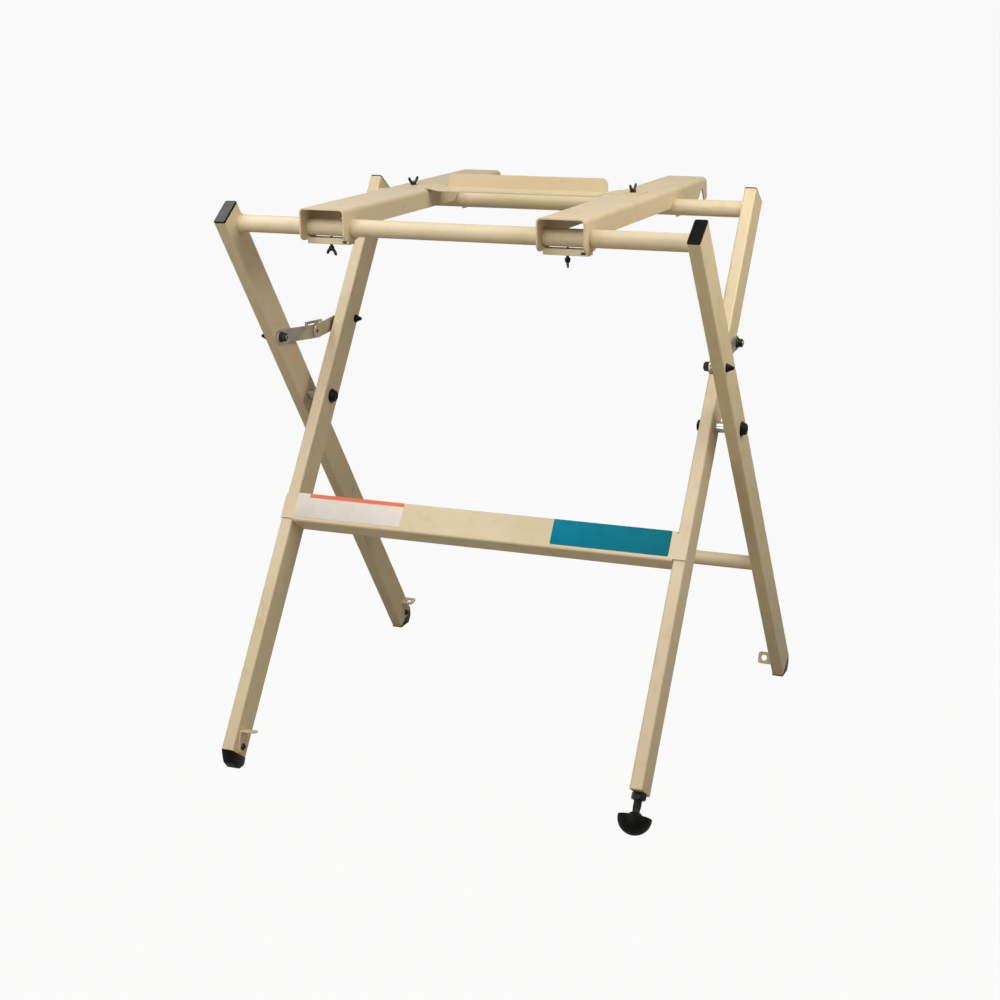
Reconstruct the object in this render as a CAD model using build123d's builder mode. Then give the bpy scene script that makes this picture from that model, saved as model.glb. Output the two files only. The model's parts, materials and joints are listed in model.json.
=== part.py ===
from build123d import *
from math import atan2, cos, degrees, hypot, radians, sin, sqrt
import os

os.makedirs("parts", exist_ok=True)

# Folding X stand. Millimetres, +Z up, X across the front, +Y to the rear.
# The origin is on the floor, half way between the legs and straight below the pivot axis.

# Legs: rectangular tube, two outer legs leaning forward and two inner legs leaning back
leg_width = 16
leg_depth = 40
leg_wall = 1.5
leg_corner = 2.5
outer_leg_x = 300
inner_leg_x = 267
lean = 35.3
pivot_height = 426
upper_length = 325
rear_foot_gap = 1.5
front_foot_gap = 8.8
leveler_gap = 30
body_gap = 0.3
running_gap = 0.08

# Round tubes between the leg tops, and the round bar low between the outer legs
tube_radius = 10.65
tube_wall = 1.6
tube_from_top = 25
tube_shift = leg_depth / 2 - tube_radius
bar_radius = 9.5
bar_wall = 1.5
bar_along = -273

# Sheet metal cross member low on the inner legs
web_thickness = 1.5
web_top_along = -148
web_height = 39.5
web_flange_depth = 33.5
web_bend = 3

# Pivot and stay hardware
pivot_bolt_radius = 5
pivot_cap_radius = 9.5
pivot_dome_radius = 7.5
pivot_flange = 2
pivot_cap_height = 7
spacer_radius = 7
stay_bolt_radius = 3
stay_pin_along = 121
stay_pin_off = 11.5
stay_washer_radius = 8
stay_washer = 1
nut_flange_radius = 8
nut_flange = 2
nut_across = 10
nut_height = 7
cone_radius = 5.6
cone_tip_radius = 1.4
cone_height = 9.5

# Lock stays: two flat links each side, joined by a hollow rivet
link_width = 18
link_thickness = 2.5
middle_height = 87
joggle_start = 20
joggle_end = 12
riser_height = 14.6
riser_length = 8
tab_length = 44.5
tab_height = 3.2
tab_past = 7.8
tab_turn = 7.4
tab_lip_length = 4
tab_lip_height = 7
rivet_radius = 2.8
rivet_bore = 1.6
rivet_head_radius = 4.6
rivet_head = 1.4
link_hole_radius = 3.1

# Rails: inverted channels lying on the two tubes
rail_width = 60
rail_wall = 2
rail_bend = 6
rail_rise = 24.8
rail_middle_depth = 25
rail_end_depth = 40
rail_hook_depth = 39
rail_left_x = -167
rail_right_x = 138.5
rail_front_reach = 25.3
rail_rear_reach = 148
rail_rear_slant = 5
rail_rear_depth = 30
lobe_flat = 7.7
lobe_slope = 60.7
hook_flat = 40.3
lobe_corner = 11
relief_setback = 23
relief_flat = 5
relief_depth = 14
relief_front_spread = 31
relief_rear_spread = 15
rail_hole_radius = 2.5
rail_hole_inset = 24.7

# Clamps under the rails at the front tube
strap_height = 7.2
strap_depth = 16
strap_drop = 12.6
ear_thickness = 2.2
ear_height = 8.8
slot_length = 6
slot_height = 3.2
slot_end_gap = 3
screw_thread_radius = 2
screw_neck = 3.5
screw_hub_radius = 3.4
screw_hub_height = 5.5
screw_wing_height = 10.5
wing_span = 22
wing_thickness = 2.6
wing_tip_width = 6
wing_root = 1.5
wing_corner = 2.4
left_screw_turn = 31.6
right_screw_turn = 68
nut_hub_radius = 4
nut_hub_height = 4.8
nut_wing_height = 10.2
left_nut_turn = 79.4
right_nut_turn = 86.3

# Cross plate bolted over both rails
plate_thickness = 2
plate_depth = 43
plate_inset = 64.7
plate_step = 3.5
plate_foot_reach = 12
plate_foot_edge = 4
plate_slope = 18
flange_height = 16
flange_margin = 3
flange_corner = 7
stud_inset = 23
thread_radius = 2.5
stud_head_radius = 5
stud_head_height = 2.2
stud_length = 6

# Feet, caps and brackets
cap_thickness = 2
plug_gap = 0.15
plug_depth = 11
cap_corner = 2.5
bracket_width = 17
bracket_sheet = 2
bracket_rise = 21.8
bracket_drop = 8
bracket_corner = 6
bracket_reach = 18.5
bracket_tab_corner = 4
bracket_hole_radius = 4.2
bracket_hole_reach = 10.2
rear_left_turn = 24
rear_right_turn = -36
front_left_turn = -20
screw_rise = 10
screw_shift = 1
screw_radius = 2
screw_head_radius = 4.5
screw_head = 2.8

# Levelling foot under the shorter right inner leg
stud_radius = 5
stud_inside = 30
stud_in_pad = 8
insert_depth = 16
lock_nut_across = 16
lock_nut_height = 8.4
lock_nut_turn = 30
pad_radius = 20.5
pad_flat = 3
pad_rim = 1.5
pad_collar_radius = 8
pad_collar_top = 6.4
pad_collar_height = 2.5

# Blank name plates on the cross member
label_thickness = 0.4
label_height = 33
label_top_gap = 0.7
label_left_start = -258
label_left_end = -105.5
label_right_start = 99.5
label_right_end = 252.5

# Frames of reference: +Z of each runs up its legs, +Y is towards the rear
lean_sin = sin(radians(lean))
lean_cos = cos(radians(lean))
pivot = (0, 0, pivot_height)
outer_plane = Plane(origin=pivot, x_dir=(1, 0, 0), z_dir=(0, -lean_sin, lean_cos))
inner_plane = Plane(origin=pivot, x_dir=(1, 0, 0), z_dir=(0, lean_sin, lean_cos))

half_leg = leg_width / 2
half_depth = leg_depth / 2
end_drop = half_depth * lean_sin
outer_lower_length = (pivot_height - rear_foot_gap - end_drop) / lean_cos
inner_lower_length = (pivot_height - front_foot_gap - end_drop) / lean_cos
inner_right_lower_length = inner_lower_length - leveler_gap

tube_along = upper_length - tube_from_top
tube_y = tube_along * lean_sin - tube_shift * lean_cos
tube_z = pivot_height + tube_along * lean_cos + tube_shift * lean_sin

rail_top = tube_z + rail_rise
rail_front = -tube_y - rail_front_reach
rail_rear = tube_y + rail_rear_reach
lobe_flat_rear = lobe_flat - tube_y
lobe_slope_end = lobe_slope - tube_y
hook_rear = tube_y + hook_flat
rail_hole_y = rail_hole_inset - tube_y
relief_front = rail_rear - relief_setback
relief_rear = relief_front + relief_flat
plate_rear = tube_y - plate_inset
stud_y = plate_rear - stud_inset
outer_face = outer_leg_x + half_leg
outer_inside = outer_leg_x - half_leg
inner_outside = inner_leg_x + half_leg
inner_face = inner_leg_x - half_leg

# Stay pins seen from the side, in millimetres from the pivot
pin_y = stay_pin_along * lean_sin + stay_pin_off * lean_cos
pin_z = stay_pin_along * lean_cos - stay_pin_off * lean_sin
link_length = hypot(pin_y, pin_z - middle_height)


def on_outer(x, y, z):
    return outer_plane.location * Location((x, y, z))


def on_inner(x, y, z):
    return inner_plane.location * Location((x, y, z))


def leg_section(level, x):
    with BuildSketch(level) as section:
        with Locations((x, 0)):
            RectangleRounded(leg_width, leg_depth, leg_corner)
            RectangleRounded(leg_width - 2 * leg_wall, leg_depth - 2 * leg_wall,
                             leg_corner - leg_wall, mode=Mode.SUBTRACT)
    return section.sketch


def plug_section(level, x):
    with BuildSketch(level) as section:
        with Locations((x, 0)):
            RectangleRounded(leg_width - 2 * (leg_wall + plug_gap),
                             leg_depth - 2 * (leg_wall + plug_gap), leg_corner - leg_wall)
            RectangleRounded(leg_width - 4 * (leg_wall + plug_gap),
                             leg_depth - 4 * (leg_wall + plug_gap), leg_corner - leg_wall,
                             mode=Mode.SUBTRACT)
    return section.sketch


def cap_section(level, x):
    with BuildSketch(level) as section:
        with Locations((x, 0)):
            RectangleRounded(leg_width, leg_depth, leg_corner)
    return section.sketch


# Outer frame: two legs, the front tube and the rear bar, welded
outer_length = outer_lower_length + upper_length
with BuildPart() as outer_leg_left:
    extrude(leg_section(outer_plane.offset(-outer_lower_length), -outer_leg_x), amount=outer_length)
    with Locations(pivot):
        with Locations((-outer_leg_x, 0)):
            Cylinder(pivot_bolt_radius, leg_depth, rotation=(0, 90, 0), mode=Mode.SUBTRACT)
    with Locations(on_outer(-outer_leg_x, -stay_pin_off, stay_pin_along)):
        Cylinder(stay_bolt_radius + running_gap, leg_depth, rotation=(0, 90, 0), mode=Mode.SUBTRACT)
    with Locations(on_outer(-outer_inside, screw_shift, screw_rise - outer_lower_length)):
        Cylinder(screw_radius, leg_width / 2, rotation=(0, 90, 0), mode=Mode.SUBTRACT)
outer_leg_left.part.label = "outer_leg_left"
export_step(outer_leg_left.part, "parts/outer_leg_left.step")

with BuildPart() as outer_leg_right:
    mirror(outer_leg_left.part, about=Plane.YZ)
outer_leg_right.part.label = "outer_leg_right"
export_step(outer_leg_right.part, "parts/outer_leg_right.step")

with BuildPart() as front_tube:
    with BuildSketch(Plane.YZ.offset(-outer_inside)):
        with Locations((-tube_y, tube_z)):
            Circle(tube_radius)
            Circle(tube_radius - tube_wall, mode=Mode.SUBTRACT)
    extrude(amount=2 * outer_inside)
front_tube.part.label = "front_tube"
export_step(front_tube.part, "parts/front_tube.step")

bar_y = -bar_along * lean_sin
bar_z = pivot_height + bar_along * lean_cos
with BuildPart() as rear_bar:
    with BuildSketch(Plane.YZ.offset(-outer_inside)):
        with Locations((bar_y, bar_z)):
            Circle(bar_radius)
            Circle(bar_radius - bar_wall, mode=Mode.SUBTRACT)
    extrude(amount=2 * outer_inside)
rear_bar.part.label = "rear_bar"
export_step(rear_bar.part, "parts/rear_bar.step")

# Plugs with a thin flange close the tops of the legs
with BuildPart() as outer_leg_caps:
    for side in (-1, 1):
        extrude(plug_section(outer_plane.offset(upper_length - plug_depth), side * outer_leg_x),
                amount=plug_depth)
        extrude(cap_section(outer_plane.offset(upper_length), side * outer_leg_x),
                amount=cap_thickness)
outer_leg_caps.part.label = "outer_leg_caps"
export_step(outer_leg_caps.part, "parts/outer_leg_caps.step")

# Rear feet: a plug with a wedge under it that lies flat on the floor
rear_end_y = outer_lower_length * lean_sin
rear_end_z = pivot_height - outer_lower_length * lean_cos
rear_low = (rear_end_y - half_depth * lean_cos, rear_end_z - half_depth * lean_sin)
rear_high = (rear_end_y + half_depth * lean_cos, rear_end_z + half_depth * lean_sin)
heel_share = 0.84
heel_rise_share = 0.45
rear_wedge = [
    rear_low,
    (rear_low[0], 0),
    (rear_low[0] + heel_share * (rear_high[0] - rear_low[0]), 0),
    (rear_high[0] + cap_thickness, heel_rise_share * rear_high[1]),
    rear_high,
]


def rear_foot(x):
    with BuildSketch(Plane.YZ.offset(x - half_leg)) as wedge:
        with BuildLine():
            Polyline(*rear_wedge, close=True)
        make_face()
    return wedge.sketch


with BuildPart() as rear_foot_left:
    extrude(rear_foot(-outer_leg_x), amount=leg_width)
    fillet(rear_foot_left.edges().filter_by(Axis.X).group_by(Axis.Y)[-1], cap_corner)
    extrude(plug_section(outer_plane.offset(-outer_lower_length), -outer_leg_x), amount=plug_depth)
rear_foot_left.part.label = "rear_foot_left"
export_step(rear_foot_left.part, "parts/rear_foot_left.step")

with BuildPart() as rear_foot_right:
    mirror(rear_foot_left.part, about=Plane.YZ)
rear_foot_right.part.label = "rear_foot_right"
export_step(rear_foot_right.part, "parts/rear_foot_right.step")

# Pivot bolts run through an outer leg, a spacer and an inner leg
pivot_start = inner_face - pivot_cap_height / 2
pivot_end = outer_face + pivot_cap_height / 2
with BuildPart() as pivot_bolts:
    for side in (-1, 1):
        with Locations((side * (pivot_start + pivot_end) / 2, 0, pivot_height)):
            Cylinder(pivot_bolt_radius - running_gap, pivot_end - pivot_start, rotation=(0, 90, 0))
pivot_bolts.part.label = "pivot_bolts"
export_step(pivot_bolts.part, "parts/pivot_bolts.step")

spacer_length = outer_inside - inner_outside - body_gap
with BuildPart() as pivot_spacers:
    for side in (-1, 1):
        with Locations((side * (outer_inside - spacer_length / 2), 0, pivot_height)):
            Cylinder(spacer_radius, spacer_length, rotation=(0, 90, 0))
            Cylinder(pivot_bolt_radius, spacer_length, rotation=(0, 90, 0), mode=Mode.SUBTRACT)
pivot_spacers.part.label = "pivot_spacers"
export_step(pivot_spacers.part, "parts/pivot_spacers.step")


def cap_profile():
    # Half section of a domed, flanged cap with a blind bore for the bolt end, from its seat at 0
    with BuildSketch(Plane.XZ) as profile:
        with BuildLine():
            Polyline((pivot_bolt_radius, 0), (pivot_cap_radius, 0),
                     (pivot_cap_radius, pivot_flange), (pivot_dome_radius, pivot_flange),
                     (pivot_dome_radius, pivot_cap_height - pivot_flange),
                     (pivot_dome_radius - pivot_flange, pivot_cap_height), (0, pivot_cap_height),
                     (0, pivot_cap_height / 2), (pivot_bolt_radius, pivot_cap_height / 2),
                     close=True)
        make_face()
    return profile.sketch


with BuildPart(mode=Mode.PRIVATE) as pivot_cap:
    revolve(cap_profile(), axis=Axis.Z)

with BuildPart() as pivot_caps_outer:
    with Locations(Location((outer_face, 0, pivot_height), (0, 90, 0)),
                   Location((-outer_face, 0, pivot_height), (0, -90, 0))):
        add(pivot_cap.part)
pivot_caps_outer.part.label = "pivot_caps_outer"
export_step(pivot_caps_outer.part, "parts/pivot_caps_outer.step")

with BuildPart() as pivot_caps_inner:
    with Locations(Location((inner_face - body_gap, 0, pivot_height), (0, -90, 0)),
                   Location((body_gap - inner_face, 0, pivot_height), (0, 90, 0))):
        add(pivot_cap.part)
pivot_caps_inner.part.label = "pivot_caps_inner"
export_step(pivot_caps_inner.part, "parts/pivot_caps_inner.step")


# Stay hardware: bolt, cone cap on the far side of the leg, washer and flange nut in the gap
def cone_profile():
    with BuildSketch(Plane.XZ) as profile:
        with BuildLine():
            Polyline((0, 0), (cone_radius, 0), (cone_radius, nut_flange / 2),
                     (cone_tip_radius, cone_height), (0, cone_height), close=True)
        make_face()
    return profile.sketch


with BuildPart(mode=Mode.PRIVATE) as stay_cone:
    revolve(cone_profile(), axis=Axis.Z)

with BuildPart(mode=Mode.PRIVATE) as stay_nut:
    Cylinder(nut_flange_radius, nut_flange, align=(Align.CENTER, Align.CENTER, Align.MIN))
    with BuildSketch(Plane.XY.offset(nut_flange)):
        RegularPolygon(nut_across / 2, side_count=6, major_radius=False)
    extrude(amount=nut_height - nut_flange)
    Cylinder(stay_bolt_radius + running_gap, nut_height, mode=Mode.SUBTRACT,
             align=(Align.CENTER, Align.CENTER, Align.MIN))

outer_pin_z = pivot_height + pin_z
link_outer_start = stay_washer + body_gap
nut_outer_start = outer_inside - link_outer_start - link_thickness - body_gap
nut_inner_start = inner_outside + link_outer_start + link_thickness + body_gap

with BuildPart() as outer_stay_bolts:
    bolt_inner_end = nut_outer_start - nut_height - stay_washer
    for side in (-1, 1):
        with Locations((side * (outer_face + bolt_inner_end) / 2, -pin_y, outer_pin_z)):
            Cylinder(stay_bolt_radius, outer_face - bolt_inner_end, rotation=(0, 90, 0))
outer_stay_bolts.part.label = "outer_stay_bolts"
export_step(outer_stay_bolts.part, "parts/outer_stay_bolts.step")

with BuildPart() as outer_stay_cones:
    with Locations(Location((outer_face, -pin_y, outer_pin_z), (0, 90, 0)),
                   Location((-outer_face, -pin_y, outer_pin_z), (0, -90, 0))):
        add(stay_cone.part)
outer_stay_cones.part.label = "outer_stay_cones"
export_step(outer_stay_cones.part, "parts/outer_stay_cones.step")

with BuildPart() as outer_stay_washers:
    for side in (-1, 1):
        with Locations((side * (outer_inside - stay_washer / 2), -pin_y, outer_pin_z)):
            Cylinder(stay_washer_radius, stay_washer, rotation=(0, 90, 0))
            Cylinder(stay_bolt_radius + running_gap, stay_washer, rotation=(0, 90, 0),
                     mode=Mode.SUBTRACT)
outer_stay_washers.part.label = "outer_stay_washers"
export_step(outer_stay_washers.part, "parts/outer_stay_washers.step")

with BuildPart() as outer_stay_nuts:
    with Locations(Location((nut_outer_start, -pin_y, outer_pin_z), (0, -90, 0)),
                   Location((-nut_outer_start, -pin_y, outer_pin_z), (0, 90, 0))):
        add(stay_nut.part)
outer_stay_nuts.part.label = "outer_stay_nuts"
export_step(outer_stay_nuts.part, "parts/outer_stay_nuts.step")


# Corner brackets: a plate on one screw inside the leg, turned on it, its top bent inwards and drilled
def bracket_parts(place, x, side, end, turn):
    seat = Plane(place(x, screw_shift, end + screw_rise) * Location((0, 0, 0), (-turn, 0, 0)))
    with BuildSketch(Plane(origin=seat.origin, x_dir=seat.y_dir, z_dir=seat.x_dir)) as plate:
        with Locations((0, (bracket_rise - bracket_drop) / 2)):
            Rectangle(bracket_width, bracket_rise + bracket_drop)
        fillet(plate.vertices().group_by(Axis.Y)[0], bracket_corner)
        Circle(screw_radius, mode=Mode.SUBTRACT)
    extrude(plate.sketch, amount=-side * bracket_sheet)
    with BuildSketch(seat.offset(bracket_rise - bracket_sheet)) as tab:
        with Locations((-side * bracket_reach / 2, 0)):
            Rectangle(bracket_reach, bracket_width)
        fillet(tab.vertices().group_by(Axis.X)[0 if side > 0 else -1], bracket_tab_corner)
        with Locations((-side * bracket_hole_reach, 0)):
            Circle(bracket_hole_radius, mode=Mode.SUBTRACT)
    extrude(tab.sketch, amount=bracket_sheet)


def bracket_screw(place, x, side, end):
    head_middle = bracket_sheet + screw_head / 2
    shank_middle = (leg_wall - bracket_sheet) / 2
    with Locations(place(x - side * head_middle, screw_shift, end + screw_rise)):
        Cylinder(screw_head_radius, screw_head, rotation=(0, 90, 0))
    with Locations(place(x + side * shank_middle, screw_shift, end + screw_rise)):
        Cylinder(screw_radius, bracket_sheet + leg_wall, rotation=(0, 90, 0))


with BuildPart() as rear_brackets:
    bracket_parts(on_outer, -outer_inside, -1, -outer_lower_length, rear_left_turn)
    bracket_parts(on_outer, outer_inside, 1, -outer_lower_length, rear_right_turn)
rear_brackets.part.label = "rear_brackets"
export_step(rear_brackets.part, "parts/rear_brackets.step")

with BuildPart() as rear_bracket_screws:
    bracket_screw(on_outer, -outer_inside, -1, -outer_lower_length)
    bracket_screw(on_outer, outer_inside, 1, -outer_lower_length)
rear_bracket_screws.part.label = "rear_bracket_screws"
export_step(rear_bracket_screws.part, "parts/rear_bracket_screws.step")

# Inner frame: two legs, the rear tube and the sheet metal cross member
with BuildPart() as inner_leg_left:
    extrude(leg_section(inner_plane.offset(-inner_lower_length), -inner_leg_x),
            amount=inner_lower_length + upper_length)
    with Locations((-inner_leg_x, 0, pivot_height)):
        Cylinder(pivot_bolt_radius, leg_depth, rotation=(0, 90, 0), mode=Mode.SUBTRACT)
    with Locations(on_inner(-inner_leg_x, stay_pin_off, stay_pin_along)):
        Cylinder(stay_bolt_radius + running_gap, leg_depth, rotation=(0, 90, 0), mode=Mode.SUBTRACT)
    with Locations(on_inner(-inner_face, screw_shift, screw_rise - inner_lower_length)):
        Cylinder(screw_radius, leg_width / 2, rotation=(0, 90, 0), mode=Mode.SUBTRACT)
inner_leg_left.part.label = "inner_leg_left"
export_step(inner_leg_left.part, "parts/inner_leg_left.step")

with BuildPart() as inner_leg_right:
    extrude(leg_section(inner_plane.offset(-inner_right_lower_length), inner_leg_x),
            amount=inner_right_lower_length + upper_length)
    with Locations((inner_leg_x, 0, pivot_height)):
        Cylinder(pivot_bolt_radius, leg_depth, rotation=(0, 90, 0), mode=Mode.SUBTRACT)
    with Locations(on_inner(inner_leg_x, stay_pin_off, stay_pin_along)):
        Cylinder(stay_bolt_radius + running_gap, leg_depth, rotation=(0, 90, 0), mode=Mode.SUBTRACT)
inner_leg_right.part.label = "inner_leg_right"
export_step(inner_leg_right.part, "parts/inner_leg_right.step")

with BuildPart() as rear_tube:
    with BuildSketch(Plane.YZ.offset(-inner_face)):
        with Locations((tube_y, tube_z)):
            Circle(tube_radius)
            Circle(tube_radius - tube_wall, mode=Mode.SUBTRACT)
    extrude(amount=2 * inner_face)
rear_tube.part.label = "rear_tube"
export_step(rear_tube.part, "parts/rear_tube.step")

web_middle = web_top_along - web_height / 2
web_outside = -(half_depth + web_thickness)
with BuildPart() as front_crossmember:
    with Locations(on_inner(0, web_outside + web_flange_depth / 2, web_middle)):
        Box(2 * inner_face - 2 * body_gap, web_flange_depth, web_height)
    fillet(front_crossmember.edges().filter_by(Axis.X).sort_by(Axis.Y)[0:2], web_bend)
    with Locations(on_inner(0, web_outside + web_thickness + web_flange_depth / 2, web_middle)):
        Box(2 * inner_face, web_flange_depth, web_height - 2 * web_thickness, mode=Mode.SUBTRACT)
    with Locations(on_inner(-inner_leg_x, web_outside + web_thickness / 2, web_middle),
                   on_inner(inner_leg_x, web_outside + web_thickness / 2, web_middle)):
        Box(leg_width + 2 * body_gap, web_thickness, web_height - 2 * web_bend)
front_crossmember.part.label = "front_crossmember"
export_step(front_crossmember.part, "parts/front_crossmember.step")

with BuildPart() as inner_leg_caps:
    for side in (-1, 1):
        extrude(plug_section(inner_plane.offset(upper_length - plug_depth), side * inner_leg_x),
                amount=plug_depth)
        extrude(cap_section(inner_plane.offset(upper_length), side * inner_leg_x),
                amount=cap_thickness)
inner_leg_caps.part.label = "inner_leg_caps"
export_step(inner_leg_caps.part, "parts/inner_leg_caps.step")

# Front left foot: a moulded block with a rounded toe and heel
front_end_y = -inner_lower_length * lean_sin
front_end_z = pivot_height - inner_lower_length * lean_cos
front_high = (front_end_y - half_depth * lean_cos, front_end_z + half_depth * lean_sin)
front_low = (front_end_y + half_depth * lean_cos, front_end_z - half_depth * lean_sin)
toe_rise_share = 0.42
toe_reach_share = 0.42
heel_reach_share = 0.12
toe_round = 12
heel_round = 4
front_reach = front_low[0] - front_high[0]
with BuildPart() as front_foot_left:
    with BuildSketch(Plane.YZ.offset(-inner_leg_x - half_leg)) as foot_side:
        with BuildLine():
            Polyline(front_high, (front_high[0] + cap_thickness, toe_rise_share * front_high[1]),
                     (front_high[0] + toe_reach_share * front_reach, 0),
                     (front_low[0] - heel_reach_share * front_reach, 0), front_low, close=True)
        make_face()
        foot_corners = foot_side.vertices().sort_by(Axis.X)
        fillet(foot_corners[1:3], toe_round)
        fillet(foot_side.vertices().sort_by(Axis.X)[-2:-1], heel_round)
    extrude(amount=leg_width)
    extrude(plug_section(inner_plane.offset(-inner_lower_length), -inner_leg_x), amount=plug_depth)
front_foot_left.part.label = "front_foot_left"
export_step(front_foot_left.part, "parts/front_foot_left.step")

with BuildPart() as front_bracket:
    bracket_parts(on_inner, -inner_face, -1, -inner_lower_length, front_left_turn)
front_bracket.part.label = "front_bracket"
export_step(front_bracket.part, "parts/front_bracket.step")

with BuildPart() as front_bracket_screw:
    bracket_screw(on_inner, -inner_face, -1, -inner_lower_length)
front_bracket_screw.part.label = "front_bracket_screw"
export_step(front_bracket_screw.part, "parts/front_bracket_screw.step")

with BuildPart() as inner_stay_bolts:
    bolt_outer_end = nut_inner_start + nut_height + stay_washer
    for side in (-1, 1):
        with Locations((side * (inner_face + bolt_outer_end) / 2, pin_y, outer_pin_z)):
            Cylinder(stay_bolt_radius, bolt_outer_end - inner_face, rotation=(0, 90, 0))
inner_stay_bolts.part.label = "inner_stay_bolts"
export_step(inner_stay_bolts.part, "parts/inner_stay_bolts.step")

with BuildPart() as inner_stay_cones:
    with Locations(Location((inner_face, pin_y, outer_pin_z), (0, -90, 0)),
                   Location((-inner_face, pin_y, outer_pin_z), (0, 90, 0))):
        add(stay_cone.part)
inner_stay_cones.part.label = "inner_stay_cones"
export_step(inner_stay_cones.part, "parts/inner_stay_cones.step")

with BuildPart() as inner_stay_washers:
    for side in (-1, 1):
        with Locations((side * (inner_outside + stay_washer / 2), pin_y, outer_pin_z)):
            Cylinder(stay_washer_radius, stay_washer, rotation=(0, 90, 0))
            Cylinder(stay_bolt_radius + running_gap, stay_washer, rotation=(0, 90, 0),
                     mode=Mode.SUBTRACT)
inner_stay_washers.part.label = "inner_stay_washers"
export_step(inner_stay_washers.part, "parts/inner_stay_washers.step")

with BuildPart() as inner_stay_nuts:
    with Locations(Location((nut_inner_start, pin_y, outer_pin_z), (0, 90, 0)),
                   Location((-nut_inner_start, pin_y, outer_pin_z), (0, -90, 0))):
        add(stay_nut.part)
inner_stay_nuts.part.label = "inner_stay_nuts"
export_step(inner_stay_nuts.part, "parts/inner_stay_nuts.step")

label_middle = web_top_along - label_top_gap - label_height / 2
label_y = web_outside - label_thickness / 2
with BuildPart() as label_left:
    with Locations(on_inner((label_left_start + label_left_end) / 2, label_y, label_middle)):
        Box(label_left_end - label_left_start, label_thickness, label_height)
label_left.part.label = "label_left"
export_step(label_left.part, "parts/label_left.step")

with BuildPart() as label_right:
    with Locations(on_inner((label_right_start + label_right_end) / 2, label_y, label_middle)):
        Box(label_right_end - label_right_start, label_thickness, label_height)
label_right.part.label = "label_right"
export_step(label_right.part, "parts/label_right.step")

# Levelling foot: an insert closes the leg, a stud turns in it, a nut locks it, a domed pad ends it
with BuildPart() as leveler_insert:
    with BuildSketch(inner_plane.offset(-inner_right_lower_length)):
        with Locations((inner_leg_x, 0)):
            RectangleRounded(leg_width - 2 * (leg_wall + plug_gap),
                             leg_depth - 2 * (leg_wall + plug_gap), leg_corner - leg_wall)
            Circle(stud_radius + running_gap, mode=Mode.SUBTRACT)
    extrude(amount=insert_depth)
leveler_insert.part.label = "leveler_insert"
export_step(leveler_insert.part, "parts/leveler_insert.step")

lock_nut_start = inner_right_lower_length + body_gap
with BuildPart() as leveler_lock_nut:
    with BuildSketch(inner_plane.offset(-lock_nut_start)):
        with Locations((inner_leg_x, 0)):
            RegularPolygon(lock_nut_across / 2, side_count=6, major_radius=False,
                           rotation=lock_nut_turn)
            Circle(stud_radius + running_gap, mode=Mode.SUBTRACT)
    extrude(amount=-lock_nut_height)
leveler_lock_nut.part.label = "leveler_lock_nut"
export_step(leveler_lock_nut.part, "parts/leveler_lock_nut.step")

# The ball of the pad is cut flat where it stands on the floor
pad_height = sqrt(pad_radius ** 2 - pad_flat ** 2)
pad_along = (pivot_height - pad_height) / lean_cos
pad_y = -pad_along * lean_sin
stud_end = pad_along - pad_rim + stud_in_pad
stud_top = inner_right_lower_length - stud_inside
with BuildPart() as leveler_stud:
    with BuildSketch(inner_plane.offset(-stud_end)):
        with Locations((inner_leg_x, 0)):
            Circle(stud_radius)
    extrude(amount=stud_end - stud_top)
leveler_stud.part.label = "leveler_stud"
export_step(leveler_stud.part, "parts/leveler_stud.step")

with BuildPart() as leveler_pad:
    with BuildSketch(Plane(origin=(inner_leg_x, pad_y, pad_height), x_dir=(1, 0, 0),
                           z_dir=-inner_plane.y_dir)):
        with BuildLine():
            Line((0, -pad_radius), (0, pad_rim + pad_collar_height))
            Polyline((0, pad_rim + pad_collar_height), (pad_collar_top, pad_rim + pad_collar_height),
                     (pad_collar_radius, pad_rim), (pad_radius, pad_rim), (pad_radius, 0))
            RadiusArc((pad_radius, 0), (0, -pad_radius), pad_radius)
        make_face()
    revolve(axis=Axis((inner_leg_x, pad_y, pad_height), inner_plane.z_dir))
    with BuildSketch(inner_plane.offset(-stud_end - running_gap)):
        with Locations((inner_leg_x, 0)):
            Circle(stud_radius + running_gap)
    extrude(amount=pad_radius, mode=Mode.SUBTRACT)
    with Locations((inner_leg_x, pad_y, 0)):
        Box(2 * pad_radius, 2 * pad_radius, 2 * pad_radius,
            align=(Align.CENTER, Align.CENTER, Align.MAX), mode=Mode.SUBTRACT)
leveler_pad.part.label = "leveler_pad"
export_step(leveler_pad.part, "parts/leveler_pad.step")

# Lock stays, built as a chain in the side view and thickened across
outer_link_far = outer_inside - link_outer_start
inner_link_near = inner_outside + link_outer_start
inner_link_far = inner_link_near + link_thickness
outer_link_near = inner_link_far + body_gap


def link_frame(x, side):
    # +X runs from the pin to the rivet, +Y is up, +Z is world -X or +X
    start = (x, side * pin_y, outer_pin_z)
    along = (0, -side * pin_y, middle_height - pin_z)
    return Plane(origin=start, x_dir=along, z_dir=(-side, 0, 0))


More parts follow.
